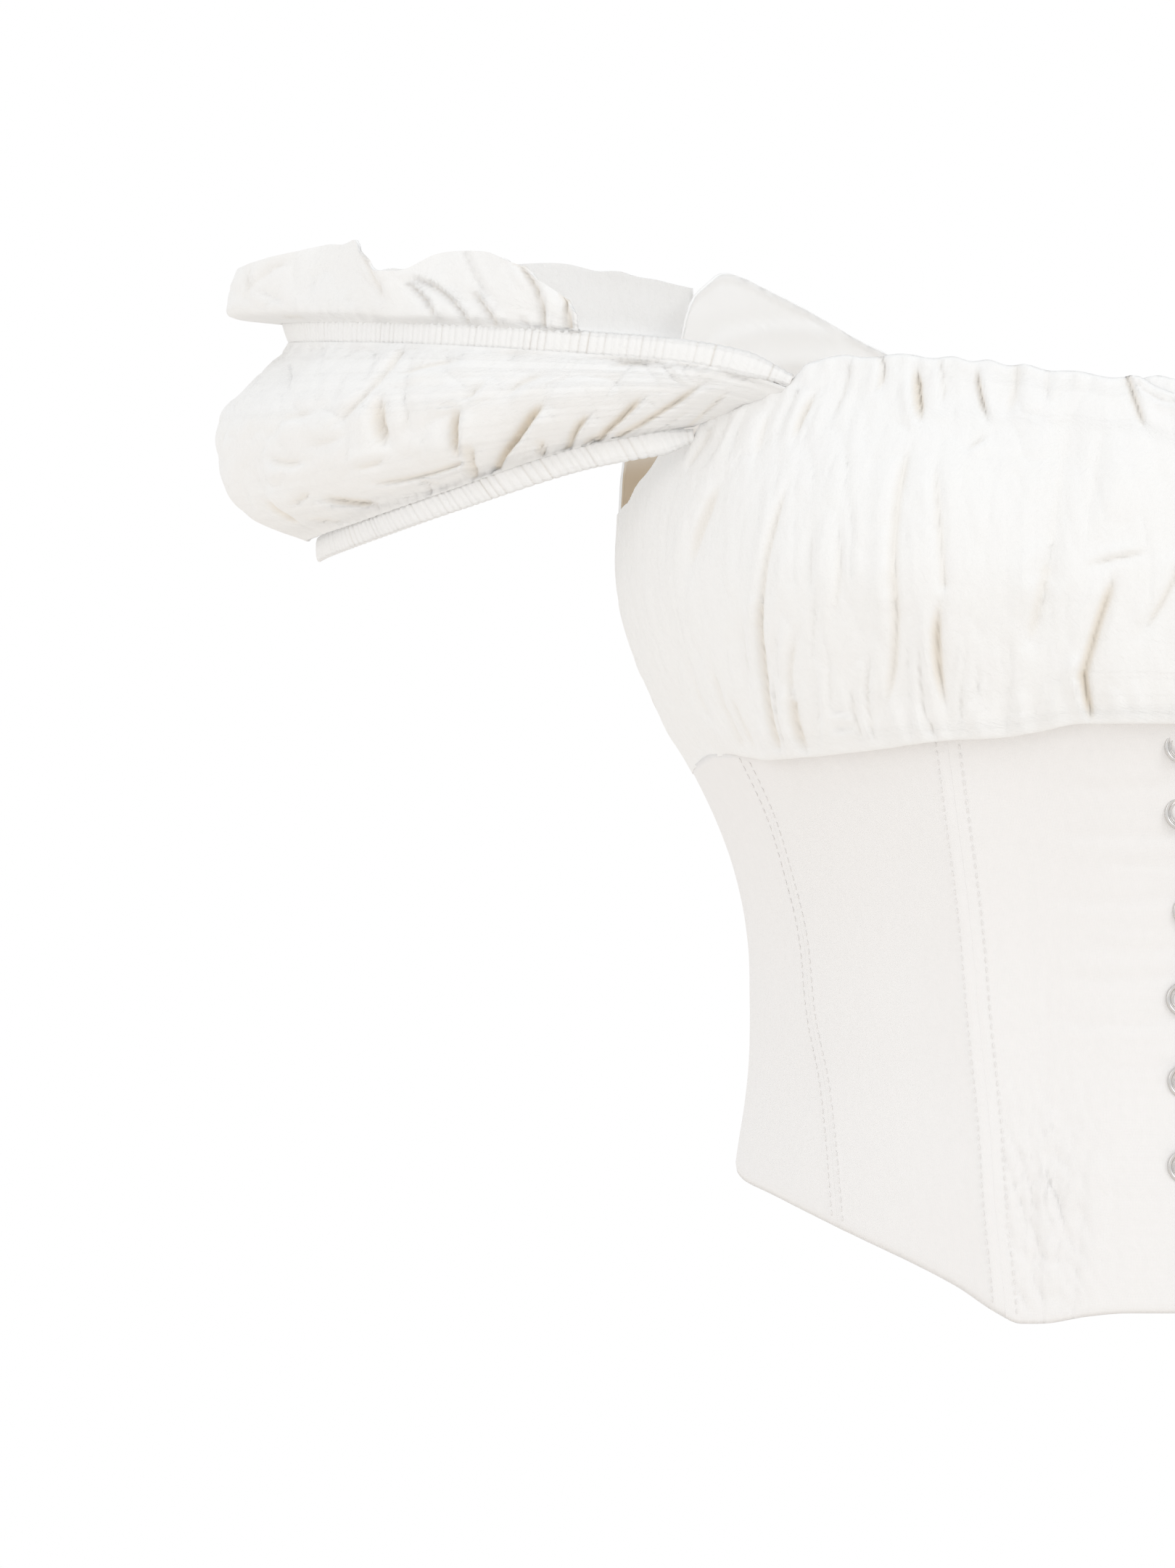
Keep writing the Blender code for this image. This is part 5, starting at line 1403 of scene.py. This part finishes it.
def make_rings():
    """The ring snaps: a rolled rim round a thinner inner rim, turned from one section."""
    for number, (z, x) in enumerate(RINGS, start=1):
        turn = float(angle_at(np.array(x), np.array(z)))
        away = Vector(outline(np.array(turn), np.array(z))[1])
        place = figure(np.array(turn), np.array(z), CORSET_LIFT + RING_SEAT)
        bm = bmesh.new()
        verts = [bm.verts.new((radius * MM, 0.0, height * MM)) for radius, height in RING_SECTION]
        edges = [bm.edges.new(pair) for pair in zip(verts, verts[1:] + verts[:1])]
        bmesh.ops.spin(bm, geom=verts + edges, cent=(0, 0, 0), axis=(0, 0, 1), angle=2 * math.pi,
                       steps=RING_STEPS, use_merge=True)
        bmesh.ops.remove_doubles(bm, verts=bm.verts, dist=RING_MERGE)
        bmesh.ops.recalc_face_normals(bm, faces=bm.faces)
        bmesh.ops.rotate(bm, verts=bm.verts, cent=(0, 0, 0),
                         matrix=away.to_track_quat("Z", "Y").to_matrix())
        bmesh.ops.translate(bm, verts=bm.verts, vec=Vector(place * MM))
        name = f"ring_{number}_snap"
        piece = finished(name, mesh_of(bm, name), "silver_metal")
        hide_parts(f"ring_{number}")


# The camera: how far in front, its height and where it is aimed, in m, and the photo's scale
CAMERA_DISTANCE, CAMERA_HEIGHT, CAMERA_AIM_X = 3.0, 0.0551, -0.168
PIXELS_PER_METRE, IMAGE_HEIGHT = 4900.0, 2161.0
SENSOR, CLIP_END = 36.0, 30.0
FLOOR_SIDES, FLOOR_COLOUR, FLOOR_ROUGHNESS = 96, (0.93, 0.885, 0.835), 0.9
# The colour of the light from all round, and of what the camera sees beyond the floor
FILL_COLOUR, BACKDROP_COLOUR = (0.97, 0.985, 1.0), (1.0, 1.0, 1.0)
# Each lamp's place, what it is aimed at, its size and its colour
Lamp = namedtuple("Lamp", "place aim size colour")
KEY = Lamp((1.6, -1.7, 1.3), (0, 0, 0.08), 1.1, (0.975, 0.99, 1.0))
SIDE_FILL = Lamp((-2.0, -1.9, 0.9), (0, 0, 0.1), 1.4, (1.0, 0.95, 0.90))


def plain(name, colour, roughness):
    """A plain finish in one colour."""
    made = bpy.data.materials.new(name)
    made.use_nodes = True
    shader = made.node_tree.nodes["Principled BSDF"]
    shader.inputs["Base Color"].default_value = (*colour, 1.0)
    shader.inputs["Roughness"].default_value = roughness
    return made


def area_light(name, lamp, watts):
    """Hangs up a round lamp."""
    light = bpy.data.lights.new(name, "AREA")
    light.shape = "DISK"
    light.size, light.energy, light.color = lamp.size, watts, lamp.colour
    hung = bpy.data.objects.new(name, light)
    hung.location = lamp.place
    hung.rotation_euler = (Vector(lamp.aim) - Vector(lamp.place)).to_track_quat("-Z", "Y").to_euler()
    bpy.context.scene.collection.objects.link(hung)


def make_stage():
    """A pale floor, soft light from all round with a softer key, and the camera."""
    stage = bpy.context.scene.bustier_stage
    bm = bmesh.new()
    bmesh.ops.create_circle(bm, cap_ends=True, segments=FLOOR_SIDES, radius=stage.floor_radius)
    bmesh.ops.translate(bm, verts=bm.verts, vec=(0, 0, stage.floor_height))
    floor = bpy.data.objects.new("floor", mesh_of(bm, "floor"))
    bpy.context.scene.collection.objects.link(floor)
    floor.data.materials.append(plain("floor_pale", FLOOR_COLOUR, FLOOR_ROUGHNESS))
    world = bpy.data.worlds.new("studio")
    bpy.context.scene.world = world
    world.use_nodes = True
    nodes, links = world.node_tree.nodes, world.node_tree.links
    nodes.clear()
    around = nodes.new("ShaderNodeBackground")
    around.inputs["Color"].default_value = (*FILL_COLOUR, 1.0)
    around.inputs["Strength"].default_value = stage.fill
    seen = nodes.new("ShaderNodeBackground")
    seen.inputs["Color"].default_value = (*BACKDROP_COLOUR, 1.0)
    path = nodes.new("ShaderNodeLightPath")
    choose = nodes.new("ShaderNodeMixShader")
    links.new(path.outputs["Is Camera Ray"], choose.inputs[0])
    links.new(around.outputs[0], choose.inputs[1])
    links.new(seen.outputs[0], choose.inputs[2])
    output = nodes.new("ShaderNodeOutputWorld")
    links.new(choose.outputs[0], output.inputs["Surface"])
    area_light("key", KEY, stage.key)
    area_light("side_fill", SIDE_FILL, stage.side_fill)
    camera = bpy.data.cameras.new("camera")
    camera.sensor_width = SENSOR
    camera.lens = SENSOR / (IMAGE_HEIGHT / PIXELS_PER_METRE) * CAMERA_DISTANCE
    camera.clip_end = CLIP_END
    eye = bpy.data.objects.new("camera", camera)
    eye.location = (0.0, -CAMERA_DISTANCE, CAMERA_HEIGHT)
    aim = Vector((CAMERA_AIM_X, 0.0, CAMERA_HEIGHT))
    eye.rotation_euler = (aim - eye.location).to_track_quat("-Z", "Y").to_euler()
    bpy.context.scene.collection.objects.link(eye)
    bpy.context.scene.camera = eye
    bpy.context.scene.view_settings.view_transform = "Standard"


class BustierCloth(bpy.types.PropertyGroup):
    """The sizes and colours of the cloth, the stitches and the rings"""
    wall: FloatProperty(name="Cloth wall", description="Thickness of the cloth", default=0.0009,
                        unit="LENGTH")
    creases: FloatProperty(name="Creases", description="Depth of the creases placed by hand",
                           default=1.0, subtype="FACTOR")
    crinkle: FloatProperty(name="Crinkle", description="Depth of the cloth's own crinkles",
                           default=1.0, subtype="FACTOR")
    corset_colour: FloatVectorProperty(name="Corset colour", description="Colour of the corset's cotton",
                                       default=(0.893, 0.876, 0.864), subtype="COLOR")
    gauze_colour: FloatVectorProperty(name="Bust colour", description="Colour of the crinkled cotton",
                                      default=(0.912, 0.905, 0.893), subtype="COLOR")
    # The colour of the shade painted deep in the gauze's folds
    fold_shade_colour: FloatVectorProperty(name="Fold colour", description="Colour deep in the gauze's folds",
                                     default=(0.84, 0.77, 0.67), subtype="COLOR")
    # The colour of the shade painted low on the back's inside
    inside_shade_colour: FloatVectorProperty(name="Lining colour", description="Colour of the back's inside",
                                       default=(0.56, 0.46, 0.34), subtype="COLOR")
    # The thread's own off-white, made darker by painted shade for the stitches' shadows
    thread_and_shade_colour: FloatVectorProperty(name="Thread colour", description="Colour of the stitches",
                                       default=(0.87, 0.85, 0.835), subtype="COLOR")
    metal_colour: FloatVectorProperty(name="Metal colour", description="Colour of the ring snaps",
                                      default=(0.72, 0.70, 0.68), subtype="COLOR")
    stitch_length: FloatProperty(name="Stitch length", description="Length of one stitch",
                                 default=0.0019, unit="LENGTH")
    stitch_gap: FloatProperty(name="Stitch gap", description="Gap between two stitches",
                              default=0.0007, unit="LENGTH")
    thread: FloatProperty(name="Thread", description="Thickness of the thread", default=0.00034,
                          unit="LENGTH")


class BustierStage(bpy.types.PropertyGroup):
    """The floor and the light"""
    floor_height: FloatProperty(name="Floor", description="Height of the floor", default=-0.47,
                                unit="LENGTH")
    floor_radius: FloatProperty(name="Floor radius", description="Radius of the floor", default=4.0,
                                unit="LENGTH")
    fill: FloatProperty(name="Fill", description="Strength of the light from all round", default=0.97)
    key: FloatProperty(name="Key", description="Power of the key light, in watts", default=8.5,
                       unit="POWER")
    side_fill: FloatProperty(name="Side fill", description="Power of the fainter light on the other side",
                             default=4.0, unit="POWER")


class BUSTIER_OT_corset(bpy.types.Operator):
    """Sew the corset's panels"""
    bl_idname = "bustier.corset"
    bl_label = "Corset"

    def execute(self, context):
        make_corset()
        return {"FINISHED"}


class BUSTIER_OT_bust(bpy.types.Operator):
    """Gather the bust's fronts and back"""
    bl_idname = "bustier.bust"
    bl_label = "Bust"

    def execute(self, context):
        for side, sign in SIDES.items():
            make_bust_front(side, sign)
        make_bust_back()
        return {"FINISHED"}


class BUSTIER_OT_sleeves(bpy.types.Operator):
    """Make both sleeves' puffs, ruffles and elastic channels"""
    bl_idname = "bustier.sleeves"
    bl_label = "Sleeves"

    def execute(self, context):
        make_puffs()
        make_ruffles()
        make_casings()
        return {"FINISHED"}


class BUSTIER_OT_stitches(bpy.types.Operator):
    """Stitch beside the corset's seams"""
    bl_idname = "bustier.stitches"
    bl_label = "Stitching"

    def execute(self, context):
        make_stitches()
        return {"FINISHED"}


class BUSTIER_OT_rings(bpy.types.Operator):
    """Set the ring snaps down the centre front"""
    bl_idname = "bustier.rings"
    bl_label = "Ring snaps"

    def execute(self, context):
        make_rings()
        return {"FINISHED"}


class BUSTIER_OT_stage(bpy.types.Operator):
    """Set up the floor, the light and the camera"""
    bl_idname = "bustier.stage"
    bl_label = "Stage"

    def execute(self, context):
        make_stage()
        return {"FINISHED"}


class BUSTIER_PT_panel(bpy.types.Panel):
    """The bustier top's pieces and sizes"""
    bl_idname = "BUSTIER_PT_panel"
    bl_label = "Bustier top"
    bl_space_type = "VIEW_3D"
    bl_region_type = "UI"
    bl_category = "Bustier"

    def draw(self, context):
        for kind in OPERATORS:
            self.layout.operator(kind.bl_idname)
        for group in (context.scene.bustier_cloth, context.scene.bustier_stage):
            for name in group.__annotations__:
                self.layout.prop(group, name)


OPERATORS = (BUSTIER_OT_corset, BUSTIER_OT_bust, BUSTIER_OT_sleeves, BUSTIER_OT_stitches,
             BUSTIER_OT_rings, BUSTIER_OT_stage)
CLASSES = (BustierCloth, BustierStage, *OPERATORS, BUSTIER_PT_panel)


def register():
    """Adds the settings, the buttons and the panel."""
    for kind in CLASSES:
        bpy.utils.register_class(kind)
    bpy.types.Scene.bustier_cloth = PointerProperty(type=BustierCloth)
    bpy.types.Scene.bustier_stage = PointerProperty(type=BustierStage)


def unregister():
    """Takes them away again."""
    del bpy.types.Scene.bustier_cloth
    del bpy.types.Scene.bustier_stage
    for kind in reversed(CLASSES):
        bpy.utils.unregister_class(kind)


def main():
    """Makes the whole dressed part and its stage."""
    register()
    bpy.ops.bustier.corset()
    bpy.ops.bustier.bust()
    bpy.ops.bustier.sleeves()
    bpy.ops.bustier.stitches()
    bpy.ops.bustier.rings()
    bpy.ops.bustier.stage()
    bpy.context.view_layer.update()


if __name__ == "__main__":
    main()
